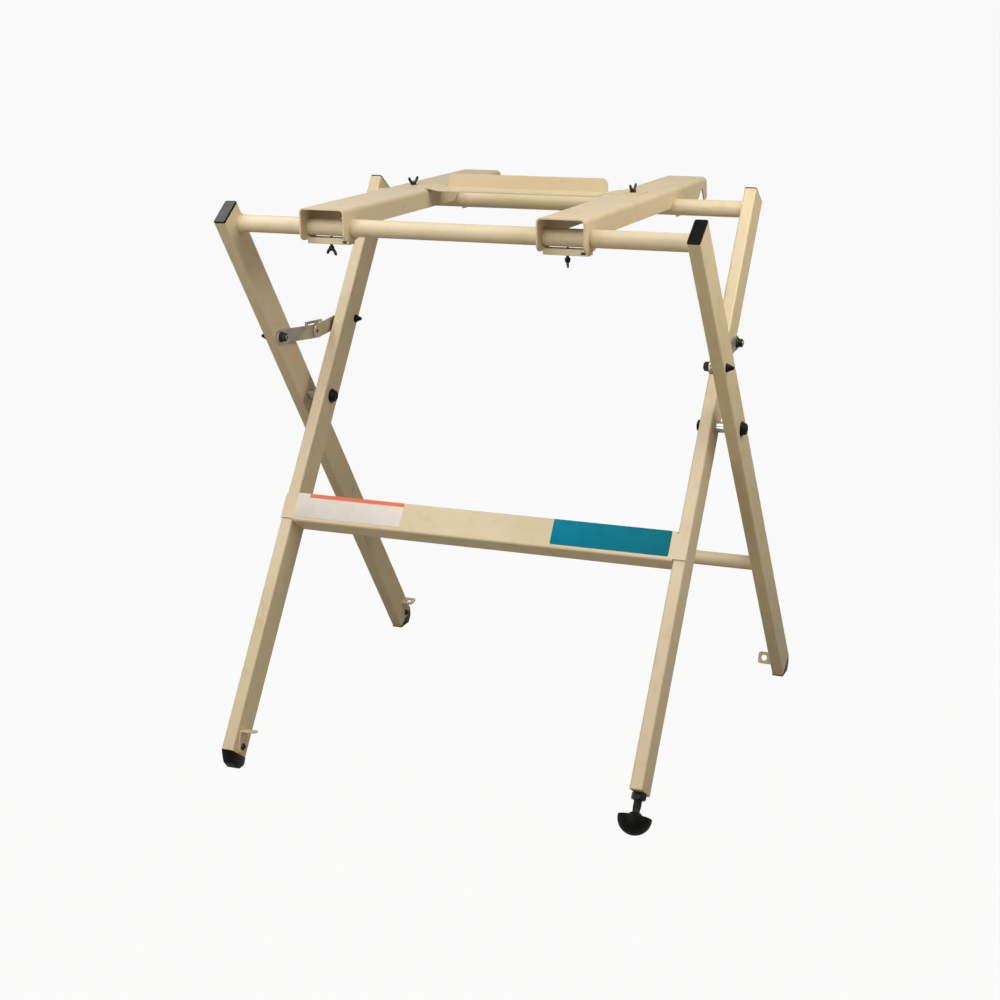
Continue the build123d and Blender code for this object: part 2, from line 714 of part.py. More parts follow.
def outer_link(x_sign):
    # A joggled strap: flat at its pin, stepped towards the inner leg at the rivet
    frame = link_frame(x_sign * outer_link_far, -1)
    toward = -x_sign
    step = toward * (outer_link_far - link_thickness - outer_link_near)
    sheet = toward * link_thickness
    step_end = link_length - joggle_end
    with BuildPart(mode=Mode.PRIVATE) as link:
        with BuildSketch(Plane(origin=frame.from_local_coords((0, -link_width / 2, 0)),
                               x_dir=frame.x_dir, z_dir=frame.y_dir)) as strip:
            with BuildLine():
                Polyline((0, 0), (joggle_start, 0), (step_end, -step), (link_length, -step),
                         (link_length, -step - sheet), (step_end, -step - sheet),
                         (joggle_start, -sheet), (0, -sheet), close=True)
            make_face()
        extrude(strip.sketch, amount=link_width)
        with BuildSketch(frame) as pin_end:
            Circle(link_width / 2)
        extrude(pin_end.sketch, amount=sheet)
        with BuildSketch(frame.offset(step)) as rivet_end:
            with Locations((link_length, 0)):
                Circle(link_width / 2)
        extrude(rivet_end.sketch, amount=sheet)
        with BuildSketch(frame) as pin_hole:
            Circle(stay_bolt_radius + running_gap)
        extrude(pin_hole.sketch, amount=sheet, mode=Mode.SUBTRACT)
        with BuildSketch(frame.offset(step)) as rivet_hole:
            with Locations((link_length, 0)):
                Circle(rivet_radius + running_gap)
        extrude(rivet_hole.sketch, amount=sheet, mode=Mode.SUBTRACT)
    return link.part


def inner_link(x_sign):
    # A flat strap with a T-shaped lifting tab over the rivet
    frame = link_frame(x_sign * inner_link_near, 1)
    sheet = -x_sign * link_thickness
    with BuildPart(mode=Mode.PRIVATE) as link:
        with BuildSketch(frame) as outline:
            with Locations((link_length / 2, 0)):
                SlotCenterToCenter(link_length, link_width)
            with Locations((link_length, riser_height / 2)):
                Rectangle(riser_length, riser_height)
            with Locations(Location((link_length + tab_past, riser_height, 0), (0, 0, tab_turn))):
                Rectangle(tab_length, tab_height)
                with Locations(((tab_length - tab_lip_length) / 2, (tab_height - tab_lip_height) / 2)):
                    Rectangle(tab_lip_length, tab_lip_height)
            Circle(stay_bolt_radius + running_gap, mode=Mode.SUBTRACT)
            with Locations((link_length, 0)):
                Circle(link_hole_radius, mode=Mode.SUBTRACT)
        extrude(outline.sketch, amount=sheet)
    return link.part


with BuildPart() as outer_link_left:
    add(outer_link(-1))
outer_link_left.part.label = "outer_link_left"
export_step(outer_link_left.part, "parts/outer_link_left.step")

with BuildPart() as outer_link_right:
    add(outer_link(1))
outer_link_right.part.label = "outer_link_right"
export_step(outer_link_right.part, "parts/outer_link_right.step")

with BuildPart() as inner_link_left:
    add(inner_link(-1))
inner_link_left.part.label = "inner_link_left"
export_step(inner_link_left.part, "parts/inner_link_left.step")

with BuildPart() as inner_link_right:
    add(inner_link(1))
inner_link_right.part.label = "inner_link_right"
export_step(inner_link_right.part, "parts/inner_link_right.step")


def stay_rivet(side):
    middle = (side * (outer_link_near + link_thickness / 2), 0, pivot_height + middle_height)
    head = (side * (outer_link_near + link_thickness + rivet_head / 2), 0,
            pivot_height + middle_height)
    with Locations(middle):
        Cylinder(rivet_radius, link_thickness, rotation=(0, 90, 0))
    with Locations(head):
        Cylinder(rivet_head_radius, rivet_head, rotation=(0, 90, 0))
    with Locations(middle):
        Cylinder(rivet_bore, 4 * link_thickness, rotation=(0, 90, 0), mode=Mode.SUBTRACT)


with BuildPart() as stay_rivet_left:
    stay_rivet(-1)
stay_rivet_left.part.label = "stay_rivet_left"
export_step(stay_rivet_left.part, "parts/stay_rivet_left.step")

with BuildPart() as stay_rivet_right:
    stay_rivet(1)
stay_rivet_right.part.label = "stay_rivet_right"
export_step(stay_rivet_right.part, "parts/stay_rivet_right.step")

# Rails: side profile, hollowed to an inverted channel, with tube hole, tube notch and a
# relief cut up into each wall near the rear end
tube_lean = radians(90 - degrees(atan2(tube_z - pivot_height, tube_y)))
ramp_sin = sin(tube_lean)
ramp_cos = cos(tube_lean)
notch_radius = tube_radius + body_gap
ramp_top = (tube_y - notch_radius * ramp_sin, tube_z + notch_radius * ramp_cos)
ramp_drop = ramp_top[1] - (rail_top - rail_middle_depth) + body_gap
ramp_low = (ramp_top[0] - ramp_drop * ramp_cos / ramp_sin, ramp_top[1] - ramp_drop)
rail_length = rail_rear + rail_rear_slant - rail_front


def rail_profile():
    with BuildSketch(Plane.YZ.offset(-rail_width / 2)) as profile:
        with BuildLine():
            Polyline((rail_front, rail_top), (rail_rear, rail_top),
                     (rail_rear + rail_rear_slant, rail_top - rail_rear_depth),
                     (hook_rear, rail_top - rail_hook_depth),
                     (tube_y + notch_radius, rail_top - rail_hook_depth),
                     (tube_y + notch_radius, rail_top - rail_middle_depth),
                     (lobe_slope_end, rail_top - rail_middle_depth),
                     (lobe_flat_rear, rail_top - rail_end_depth),
                     (rail_front, rail_top - rail_end_depth), close=True)
        make_face()
        with BuildLine():
            Polyline(ramp_top, ramp_low, (ramp_low[0], tube_z - rail_hook_depth),
                     (tube_y + notch_radius, tube_z - rail_hook_depth),
                     (tube_y + notch_radius, tube_z), close=True)
        make_face(mode=Mode.SUBTRACT)
        with BuildLine():
            Polyline((relief_front, rail_top - relief_depth), (relief_rear, rail_top - relief_depth),
                     (relief_rear + relief_rear_spread, rail_top - rail_hook_depth),
                     (relief_front - relief_front_spread, rail_top - rail_hook_depth), close=True)
        make_face(mode=Mode.SUBTRACT)
        with Locations((tube_y, tube_z)):
            Circle(notch_radius, mode=Mode.SUBTRACT)
        with Locations((-tube_y, tube_z)):
            Circle(tube_radius + running_gap, mode=Mode.SUBTRACT)
    return profile.sketch


with BuildPart(mode=Mode.PRIVATE) as rail_blank:
    extrude(rail_profile(), amount=rail_width)
    top_edges = rail_blank.edges().filter_by(Axis.Y).group_by(Axis.Z)[-1]
    fillet(top_edges, rail_bend)
    low_front = rail_blank.edges().filter_by(Axis.X).group_by(Axis.Y)[0].sort_by(Axis.Z)[0:1]
    fillet(low_front, lobe_corner)
    low_rear = rail_blank.edges().filter_by(Axis.X).group_by(Axis.Y)[-1]
    fillet(low_rear, rail_rear_slant)
    with BuildSketch(Plane.XZ.offset(-rail_rear - rail_rear_slant)):
        with Locations((0, rail_top - rail_wall)):
            RectangleRounded(rail_width - 2 * rail_wall, 2 * rail_end_depth, rail_bend - rail_wall,
                             align=(Align.CENTER, Align.MAX))
    extrude(amount=rail_length, mode=Mode.SUBTRACT)
    with Locations((0, stud_y, rail_top)):
        Cylinder(thread_radius, 4 * rail_wall, mode=Mode.SUBTRACT)
    with Locations((0, rail_hole_y, rail_top)):
        Cylinder(rail_hole_radius, 4 * rail_wall, mode=Mode.SUBTRACT)

with BuildPart() as rail_left:
    with Locations((rail_left_x, 0, 0)):
        add(rail_blank.part)
rail_left.part.label = "rail_left"
export_step(rail_left.part, "parts/rail_left.step")

with BuildPart() as rail_right:
    with Locations((rail_right_x, 0, 0)):
        add(rail_blank.part)
rail_right.part.label = "rail_right"
export_step(rail_right.part, "parts/rail_right.step")

# Clamp straps between the rail walls, under the front tube
strap_top = tube_z - strap_drop
inner_half = rail_width / 2 - rail_wall


def clamp_strap():
    with Locations((0, -tube_y, strap_top - strap_height / 2)):
        Box(2 * inner_half, strap_depth, strap_height)
    for side in (-1, 1):
        with Locations((side * (inner_half - ear_thickness / 2), -tube_y,
                        strap_top - strap_height + ear_height / 2)):
            Box(ear_thickness, strap_depth, ear_height)
    with Locations((inner_half - slot_end_gap - slot_length / 2, -tube_y,
                    strap_top - strap_height / 2 - slot_height / 4)):
        Box(slot_length, strap_depth, slot_height, mode=Mode.SUBTRACT)
    with Locations((0, -tube_y, strap_top)):
        Cylinder(screw_thread_radius + running_gap, 4 * strap_height, mode=Mode.SUBTRACT)


with BuildPart(mode=Mode.PRIVATE) as strap_blank:
    clamp_strap()

with BuildPart() as clamp_strap_left:
    with Locations((rail_left_x, 0, 0)):
        add(strap_blank.part)
clamp_strap_left.part.label = "clamp_strap_left"
export_step(clamp_strap_left.part, "parts/clamp_strap_left.step")

with BuildPart() as clamp_strap_right:
    with Locations((rail_right_x, 0, 0)):
        add(strap_blank.part)
clamp_strap_right.part.label = "clamp_strap_right"
export_step(clamp_strap_right.part, "parts/clamp_strap_right.step")


# Wing head, its hub seated at 0 and its two wings rising away from the seat
def wing_outline(hub_radius, hub_height, height):
    tip = wing_span / 2
    with BuildSketch(Plane.XZ.offset(-wing_thickness / 2)) as outline:
        with BuildLine():
            Polyline((-hub_radius, wing_root), (hub_radius, wing_root),
                     (tip, height - wing_tip_width), (tip, height), (tip - wing_tip_width, height),
                     (hub_radius, hub_height), (-hub_radius, hub_height),
                     (wing_tip_width - tip, height), (-tip, height), (-tip, height - wing_tip_width),
                     close=True)
        make_face()
        fillet(vertices().group_by(Axis.Y)[-1], wing_corner)
    return outline.sketch


def wing_head(hub_radius, hub_height, height):
    Cylinder(hub_radius, hub_height, align=(Align.CENTER, Align.CENTER, Align.MIN))
    extrude(wing_outline(hub_radius, hub_height, height), amount=wing_thickness)


with BuildPart(mode=Mode.PRIVATE) as wing_nut:
    wing_head(nut_hub_radius, nut_hub_height, nut_wing_height)
    Cylinder(thread_radius + running_gap, 4 * nut_hub_height, mode=Mode.SUBTRACT)

screw_tip = tube_z - tube_radius - body_gap
screw_seat = strap_top - strap_height - screw_neck
with BuildPart(mode=Mode.PRIVATE) as wing_bolt:
    wing_head(screw_hub_radius, screw_hub_height, screw_wing_height)
    with Locations((0, 0, 0)):
        Cylinder(screw_thread_radius, screw_tip - screw_seat,
                 align=(Align.CENTER, Align.CENTER, Align.MAX))

with BuildPart() as clamp_bolt_left:
    with Locations(Location((rail_left_x, -tube_y, screw_seat), (180, 0, left_screw_turn))):
        add(wing_bolt.part)
clamp_bolt_left.part.label = "clamp_bolt_left"
export_step(clamp_bolt_left.part, "parts/clamp_bolt_left.step")

with BuildPart() as clamp_bolt_right:
    with Locations(Location((rail_right_x, -tube_y, screw_seat), (180, 0, right_screw_turn))):
        add(wing_bolt.part)
clamp_bolt_right.part.label = "clamp_bolt_right"
export_step(clamp_bolt_right.part, "parts/clamp_bolt_right.step")

# Cross plate: feet on both rail tops, a lower ledge between them and a flange along its rear
plate_low = rail_top - plate_step
left_foot = rail_left_x + rail_width / 2 - plate_foot_edge
right_foot = rail_right_x - rail_width / 2 + plate_foot_edge
left_end = rail_left_x - plate_foot_reach
right_end = rail_right_x + plate_foot_reach
with BuildPart() as cross_plate:
    with BuildSketch(Plane.XZ.offset(-plate_rear)):
        with BuildLine():
            Polyline((left_end, rail_top), (left_foot, rail_top), (left_foot + plate_slope, plate_low),
                     (right_foot - plate_slope, plate_low), (right_foot, rail_top),
                     (right_end, rail_top), (right_end, rail_top + plate_thickness),
                     (right_foot, rail_top + plate_thickness),
                     (right_foot - plate_slope, plate_low + plate_thickness),
                     (left_foot + plate_slope, plate_low + plate_thickness),
                     (left_foot, rail_top + plate_thickness), (left_end, rail_top + plate_thickness),
                     close=True)
        make_face()
    extrude(amount=plate_depth)
    with BuildSketch(Plane.XZ.offset(-plate_rear)):
        with BuildLine():
            Polyline((left_foot + plate_slope - flange_margin, plate_low),
                     (right_foot - plate_slope + flange_margin, plate_low),
                     (right_foot - plate_slope + flange_margin, rail_top + flange_height),
                     (left_foot + plate_slope - flange_margin, rail_top + flange_height), close=True)
        make_face()
        fillet(vertices().group_by(Axis.Y)[-1], flange_corner)
    extrude(amount=plate_thickness)
    with Locations((rail_left_x, stud_y, rail_top), (rail_right_x, stud_y, rail_top)):
        Cylinder(thread_radius, 4 * plate_thickness, mode=Mode.SUBTRACT)
cross_plate.part.label = "cross_plate"
export_step(cross_plate.part, "parts/cross_plate.step")

with BuildPart() as plate_studs:
    with Locations((rail_left_x, stud_y, rail_top - rail_wall),
                   (rail_right_x, stud_y, rail_top - rail_wall)):
        Cylinder(stud_head_radius, stud_head_height, align=(Align.CENTER, Align.CENTER, Align.MAX))
        Cylinder(thread_radius, rail_wall + plate_thickness + stud_length,
                 align=(Align.CENTER, Align.CENTER, Align.MIN))
plate_studs.part.label = "plate_studs"
export_step(plate_studs.part, "parts/plate_studs.step")

nut_seat = rail_top + plate_thickness + body_gap
with BuildPart() as wing_nut_left:
    with Locations(Location((rail_left_x, stud_y, nut_seat), (0, 0, left_nut_turn))):
        add(wing_nut.part)
wing_nut_left.part.label = "wing_nut_left"
export_step(wing_nut_left.part, "parts/wing_nut_left.step")

with BuildPart() as wing_nut_right:
    with Locations(Location((rail_right_x, stud_y, nut_seat), (0, 0, right_nut_turn))):
        add(wing_nut.part)
wing_nut_right.part.label = "wing_nut_right"
export_step(wing_nut_right.part, "parts/wing_nut_right.step")
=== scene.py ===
import json
import math
import bpy
import bmesh
from mathutils import Matrix, Vector


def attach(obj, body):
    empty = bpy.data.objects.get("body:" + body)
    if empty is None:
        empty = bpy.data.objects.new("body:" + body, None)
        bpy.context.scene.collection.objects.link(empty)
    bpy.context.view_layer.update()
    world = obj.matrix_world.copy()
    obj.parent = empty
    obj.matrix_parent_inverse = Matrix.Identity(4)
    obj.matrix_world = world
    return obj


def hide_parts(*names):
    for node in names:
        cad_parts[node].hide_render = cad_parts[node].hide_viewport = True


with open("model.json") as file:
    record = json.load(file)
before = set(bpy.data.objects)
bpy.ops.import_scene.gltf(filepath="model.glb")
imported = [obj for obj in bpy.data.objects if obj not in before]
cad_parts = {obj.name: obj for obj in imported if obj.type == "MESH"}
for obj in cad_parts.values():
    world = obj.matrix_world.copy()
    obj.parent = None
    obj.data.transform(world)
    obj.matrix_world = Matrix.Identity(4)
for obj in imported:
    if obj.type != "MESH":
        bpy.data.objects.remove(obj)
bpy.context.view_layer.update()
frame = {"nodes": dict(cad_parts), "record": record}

mm = 0.001
merged = 1e-7  # points of a mesh closer than this are one
lean = math.radians(35.3)
pivotHeight = 426
halfDepth = 20  # of a leg tube
# for each frame: which way it leans, where its legs stand, their inner faces and their cut lower ends
legs = {'outer': {'body': 'outer_frame', 'way': -1, 'x': 300, 'inside': 292, 'low': -505.99},
        'inner': {'body': 'inner_frame', 'way': 1, 'x': 267, 'inside': 259, 'low': -497.05}}


# Shader maths
class Wire:
    # a socket that can be used in sums
    def __init__(self, shade, socket):
        self.shade = shade
        self.socket = socket

    def sum(self, operation, first, second):
        return self.shade.node('ShaderNodeMath', {'operation': operation}, {0: first, 1: second})

    def __add__(self, other):
        return self.sum('ADD', self, other)

    def __radd__(self, other):
        return self.sum('ADD', other, self)

    def __sub__(self, other):
        return self.sum('SUBTRACT', self, other)

    def __rsub__(self, other):
        return self.sum('SUBTRACT', other, self)

    def __mul__(self, other):
        return self.sum('MULTIPLY', self, other)

    def __rmul__(self, other):
        return self.sum('MULTIPLY', other, self)

    def __gt__(self, other):
        return self.sum('GREATER_THAN', self, other)

    def __lt__(self, other):
        return self.sum('LESS_THAN', self, other)


class Shade:
    # a material, or the world, under construction
    def __init__(self, name, world=None):
        self.material = world or bpy.data.materials.new(name)
        self.material.use_nodes = True
        self.tree = self.material.node_tree
        self.tree.nodes.clear()

    def node(self, kind, settings=None, inputs=None, out=0):
        made = self.tree.nodes.new(kind)
        for key, value in (settings or {}).items():
            setattr(made, key, value)
        for key, value in (inputs or {}).items():
            if isinstance(value, Wire):
                self.tree.links.new(value.socket, made.inputs[key])
            else:
                made.inputs[key].default_value = value
        return Wire(self, made.outputs[out]) if made.outputs else None

    def noise(self, place, scale, detail=3.0):
        return self.node('ShaderNodeTexNoise', None, {'Vector': place, 'Scale': scale, 'Detail': detail})

    def blend(self, factor, first, second):
        return self.node('ShaderNodeMix', {'data_type': 'RGBA'}, {0: factor, 6: first, 7: second}, out=2)

    def ramp(self, value, low, high):
        return self.node('ShaderNodeMapRange', {'clamp': True},
                         {'Value': value, 'From Min': low, 'From Max': high})

    def place(self, size=(1, 1, 1)):
        where = self.node('ShaderNodeTexCoord', out='Object')
        return self.node('ShaderNodeMapping', None, {'Vector': where, 'Scale': size})

    def face(self):
        # across and up on the piece's own face map
        flat = self.node('ShaderNodeUVMap', {'uv_map': 'face'})
        return [self.node('ShaderNodeSeparateXYZ', None, {0: flat}, out=axis) for axis in ('X', 'Y')]

    def edges(self, radius):
        # a mask that is 1 along sharp edges, and the rounded normal there
        soft = self.node('ShaderNodeBevel', {'samples': 6}, {'Radius': radius})
        flat = self.node('ShaderNodeNewGeometry', out='True Normal')
        same = self.node('ShaderNodeVectorMath', {'operation': 'DOT_PRODUCT'},
                         {0: soft, 1: flat}, out='Value')
        return self.ramp(1.0 - same, 0.02, 0.25), soft

    def bump(self, height, strength, depth, soft=None):
        inputs = {'Height': height, 'Strength': strength, 'Distance': depth}
        if soft is not None:
            inputs['Normal'] = soft
        return self.node('ShaderNodeBump', None, inputs)

    def finish(self, **sockets):
        names = {'colour': 'Base Color', 'roughness': 'Roughness', 'metallic': 'Metallic',
                 'specular': 'Specular IOR Level', 'normal': 'Normal'}
        body = self.node('ShaderNodeBsdfPrincipled', None,
                         {names[key]: value for key, value in sockets.items()})
        return self.close(body)

    def close(self, body, kind='ShaderNodeOutputMaterial'):
        self.node(kind, None, {'Surface': body})
        return self.material


def rgb(red, green, blue):
    # screen values 0 to 255 to the linear colour that Blender wants
    def line(value):
        value = value / 255
        return value / 12.92 if value <= 0.04045 else ((value + 0.055) / 1.055) ** 2.4
    return (line(red), line(green), line(blue), 1.0)


# Finishes: colours, then pattern scales (cells to the metre) and the rounding seen at edges, in metres
beigePaint = {'light': rgb(219, 203, 171), 'dark': rgb(212, 194, 159), 'rosy': rgb(210, 191, 170),
              # the first tint below is a painted highlight for the sharp edges
              'edgeHighlight': rgb(235, 221, 190), 'dust': rgb(172, 152, 118),
              'broad': 8.0, 'pool': 3.1, 'cloud': 55.0, 'speck': 420.0, 'grain': 900.0,
              'edge': 0.0010, 'grainDepth': 0.00005, 'gloss': 0.30, 'specular': 0.3}


def makePaint():
    shade = Shade('beigePaint')
    where = shade.place()
    edge, soft = shade.edges(beigePaint['edge'])
    broad = shade.noise(where, beigePaint['broad'], 4.0)
    pool = shade.noise(where, beigePaint['pool'], 2.0)
    cloudy = shade.noise(where, beigePaint['cloud'])
    grain = shade.noise(where, beigePaint['grain'], 2.0)
    speck = shade.ramp(shade.noise(where, beigePaint['speck'], 1.0), 0.68, 0.74)
    colour = shade.blend(shade.ramp(broad, 0.35, 0.68), beigePaint['light'], beigePaint['dark'])
    colour = shade.blend(shade.ramp(pool, 0.48, 0.66) * 0.5, colour, beigePaint['rosy'])
    colour = shade.blend(shade.ramp(cloudy, 0.56, 0.80) * 0.28, colour, beigePaint['dust'])
    # painted highlight: the sharp edges are blended towards the lightest tint
    colour = shade.blend(edge * 0.5, colour, beigePaint['edgeHighlight'])
    colour = shade.blend(speck * 0.12, colour, beigePaint['dust'])
    rough = beigePaint['gloss'] + 0.14 * cloudy + 0.08 * grain
    bump = shade.bump(grain + 0.6 * cloudy, 0.35, beigePaint['grainDepth'], soft)
    return shade.finish(colour=colour, roughness=rough, specular=beigePaint['specular'], normal=bump)


blackPlastic = {'deep': rgb(9, 9, 10), 'pale': rgb(24, 24, 25), 'cloud': 90.0, 'grain': 1400.0,
                'edge': 0.0008, 'grainDepth': 0.00004, 'gloss': 0.20, 'specular': 0.12}


def makePlastic():
    shade = Shade('blackPlastic')
    where = shade.place()
    edge, soft = shade.edges(blackPlastic['edge'])
    cloudy = shade.noise(where, blackPlastic['cloud'], 4.0)
    grain = shade.node('ShaderNodeTexVoronoi', {'feature': 'F1'},
                       {'Vector': where, 'Scale': blackPlastic['grain']})
    colour = shade.blend(shade.ramp(cloudy, 0.45, 0.8) * 0.5, blackPlastic['deep'], blackPlastic['pale'])
    colour = shade.blend(edge * 0.4, colour, blackPlastic['pale'])
    rough = blackPlastic['gloss'] + 0.2 * cloudy
    bump = shade.bump(grain, 0.3, blackPlastic['grainDepth'], soft)
    return shade.finish(colour=colour, roughness=rough, specular=blackPlastic['specular'], normal=bump)


blackRubber = {'deep': rgb(4, 4, 5), 'pale': rgb(13, 13, 13), 'cloud': 120.0, 'grain': 900.0,
               'grainDepth': 0.00005, 'gloss': 0.32, 'specular': 0.14}


def makeRubber():
    shade = Shade('blackRubber')
    where = shade.place()
    cloudy = shade.noise(where, blackRubber['cloud'], 5.0)
    grain = shade.noise(where, blackRubber['grain'])
    colour = shade.blend(shade.ramp(cloudy, 0.4, 0.8) * 0.6, blackRubber['deep'], blackRubber['pale'])
    rough = blackRubber['gloss'] + 0.3 * cloudy
    bump = shade.bump(grain, 0.3, blackRubber['grainDepth'])
    return shade.finish(colour=colour, roughness=rough, specular=blackRubber['specular'], normal=bump)


oxideSteel = {'deep': rgb(9, 9, 9), 'pale': rgb(26, 24, 23), 'bare': rgb(84, 79, 76), 'cloud': 160.0,
              'edge': 0.0004, 'grainDepth': 0.00005, 'gloss': 0.26}


def makeBlackSteel():
    shade = Shade('blackSteel')
    where = shade.place()
    edge, soft = shade.edges(oxideSteel['edge'])
    cloudy = shade.noise(where, oxideSteel['cloud'], 4.0)
    colour = shade.blend(shade.ramp(cloudy, 0.4, 0.75) * 0.7, oxideSteel['deep'], oxideSteel['pale'])
    colour = shade.blend(edge * 0.35, colour, oxideSteel['bare'])
    rough = oxideSteel['gloss'] + 0.24 * cloudy
    metal = 0.3 + 0.4 * edge
    bump = shade.bump(cloudy, 0.25, oxideSteel['grainDepth'], soft)
    return shade.finish(colour=colour, roughness=rough, metallic=metal, normal=bump)


brightZinc = {'bright': rgb(214, 214, 218), 'dull': rgb(160, 160, 163), 'cloud': 140.0,
              'turned': 2400.0, 'edge': 0.0004, 'markDepth': 0.00002, 'gloss': 0.14, 'metal': 0.95}


def makeBrightPlate():
    shade = Shade('brightPlate')
    soft = shade.edges(brightZinc['edge'])[1]
    cloudy = shade.noise(shade.place(), brightZinc['cloud'], 4.0)
    turnedMark = shade.noise(shade.place((1, 0.05, 0.05)), brightZinc['turned'], 2.0)
    colour = shade.blend(shade.ramp(cloudy, 0.35, 0.7), brightZinc['bright'], brightZinc['dull'])
    rough = brightZinc['gloss'] + 0.14 * cloudy + 0.08 * turnedMark
    bump = shade.bump(turnedMark, 0.15, brightZinc['markDepth'], soft)
    return shade.finish(colour=colour, roughness=rough, metallic=brightZinc['metal'], normal=bump)


# yellow passivated zinc: mauve and olive clouds, brown where it is thick
yellowZinc = {'mauve': rgb(180, 168, 172), 'olive': rgb(208, 201, 160), 'brown': rgb(124, 112, 92),
              'dull': rgb(160, 160, 163), 'bright': rgb(214, 214, 218),
              'cloud': 46.0, 'fine': 210.0, 'thick': 21.0, 'edge': 0.0005, 'grainDepth': 0.00004,
              'gloss': 0.30, 'metal': 0.55}


def makeYellowPlate():
    shade = Shade('yellowPlate')
    where = shade.place()
    edge, soft = shade.edges(yellowZinc['edge'])
    cloudy = shade.noise(where, yellowZinc['cloud'])
    fine = shade.noise(where, yellowZinc['fine'], 4.0)
    thick = shade.noise(shade.place((1, 1, 0.5)), yellowZinc['thick'], 2.0)
    colour = shade.blend(shade.ramp(cloudy, 0.46, 0.60), yellowZinc['mauve'], yellowZinc['olive'])
    colour = shade.blend(shade.ramp(thick, 0.52, 0.68) * 0.7, colour, yellowZinc['brown'])
    colour = shade.blend(shade.ramp(fine, 0.5, 0.8) * 0.3, colour, yellowZinc['dull'])
    colour = shade.blend(edge * 0.4, colour, yellowZinc['bright'])
    rough = yellowZinc['gloss'] + 0.22 * fine
    metal = yellowZinc['metal'] + 0.25 * cloudy
    bump = shade.bump(fine, 0.25, yellowZinc['grainDepth'], soft)
    return shade.finish(colour=colour, roughness=rough, metallic=metal, normal=bump)


# a bare plate with one orange band along its top; the band is placed in shares of the face
paleLabel = {'paper': rgb(228, 219, 212), 'shaded': rgb(212, 203, 198), 'band': rgb(228, 112, 74),
             'bandLow': 0.835, 'bandStart': 0.115, 'cloud': 45.0, 'fine': 80.0, 'grain': 600.0,
             'grainDepth': 0.00003, 'gloss': 0.42, 'specular': 0.3}


def makePaleLabel():
    shade = Shade('paleLabel')
    where = shade.place()
    across, up = shade.face()
    cloudy = shade.noise(where, paleLabel['cloud'])
    band = (across > paleLabel['bandStart']) * (up > paleLabel['bandLow'])
    colour = shade.blend(shade.ramp(cloudy, 0.35, 0.75) * 0.6, paleLabel['paper'], paleLabel['shaded'])
    colour = shade.blend(band, colour, paleLabel['band'])
    rough = paleLabel['gloss'] + 0.12 * shade.noise(where, paleLabel['fine'])
    bump = shade.bump(shade.noise(where, paleLabel['grain'], 2.0), 0.12, paleLabel['grainDepth'])
    return shade.finish(colour=colour, roughness=rough, specular=paleLabel['specular'], normal=bump)


# the left and right teal tints paint shade that deepens towards the label's right end
tealLabel = {'left': rgb(2, 134, 163), 'right': rgb(3, 104, 122), 'cloudColour': rgb(2, 92, 112),
             'cloud': 60.0, 'grain': 700.0, 'grainDepth': 0.00003, 'gloss': 0.52, 'specular': 0.08}


def makeTealLabel():
    shade = Shade('tealLabel')
    where = shade.place()
    across, up = shade.face()
    cloudy = shade.noise(where, tealLabel['cloud'])
    # painted shade: the teal darkens from the left end of the label to its right end
    colour = shade.blend(across, tealLabel['left'], tealLabel['right'])
    colour = shade.blend(shade.ramp(cloudy, 0.5, 0.85) * 0.4, colour, tealLabel['cloudColour'])
    rough = tealLabel['gloss'] + 0.12 * cloudy
    bump = shade.bump(shade.noise(where, tealLabel['grain'], 2.0), 0.15, tealLabel['grainDepth'])
    return shade.finish(colour=colour, roughness=rough, specular=tealLabel['specular'], normal=bump)


# one finish for each material slot of the record
finishOf = {'frame_paint': makePaint(), 'black_plastic': makePlastic(), 'black_rubber': makeRubber(),
            'black_steel': makeBlackSteel(), 'zinc': makeBrightPlate(), 'yellow_zinc': makeYellowPlate(),
            'label_pale': makePaleLabel(), 'label_teal': makeTealLabel()}
print('materials made')

# CAD nodes keep their shape and take the finished materials
slotOf = {part['node']: part['material_slot'] for part in frame['record']['subparts']}
for name, node in frame['nodes'].items():
    finish = finishOf[slotOf[name]]
    if node.material_slots:
        for holder in node.material_slots:
            holder.material = finish
    else:
        node.data.materials.append(finish)


# Mesh helpers: shapes are made in millimetres about their own axis, then placed
def turned(profile, sides=40, outline=None, closed=False):
    # rings from (radius, height) pairs; a radius of 0 is a pole
    shape = bmesh.new()
    rings = []
    for radius, height in profile:
        if radius == 0:
            rings.append([shape.verts.new((0, 0, height * mm))])
            continue
        ring = []
        for step in range(sides):
            angle = 2 * math.pi * step / sides
            out = (outline(angle, radius, height) if outline else radius) * mm
            ring.append(shape.verts.new((out * math.cos(angle), out * math.sin(angle), height * mm)))
        rings.append(ring)
    pairs = list(zip(rings, rings[1:])) + ([(rings[-1], rings[0])] if closed else [])
    for low, high in pairs:
        for step in range(sides):
            after = (step + 1) % sides
            if len(low) == 1:
                shape.faces.new((low[0], high[after], high[step]))
            elif len(high) == 1:
                shape.faces.new((low[step], low[after], high[0]))
            else:
                shape.faces.new((low[step], low[after], high[after], high[step]))
    return shape


def lofted(rings):
    # rings of equal length, both ends closed
    shape = bmesh.new()
    loops = [[shape.verts.new(point) for point in ring] for ring in rings]
    for low, high in zip(loops, loops[1:]):
        for step in range(len(low)):
            after = (step + 1) % len(low)
            shape.faces.new((low[step], low[after], high[after], high[step]))
    shape.faces.new(list(reversed(loops[0])))
    shape.faces.new(loops[-1])
    return shape


def roundedRing(width, depth, corner, height, steps=5):
    ring = []
    for turn, (sx, sy) in enumerate(((1, 1), (-1, 1), (-1, -1), (1, -1))):
        for step in range(steps + 1):
            angle = math.pi / 2 * (turn + step / steps)
            ring.append(((sx * (width / 2 - corner) + corner * math.cos(angle)) * mm,
                         (sy * (depth / 2 - corner) + corner * math.sin(angle)) * mm, height * mm))
    return ring


def fromFlat(angle):
    # the angle to the middle of a hexagon's nearest side
    return (angle + math.pi / 6) % (math.pi / 3) - math.pi / 6


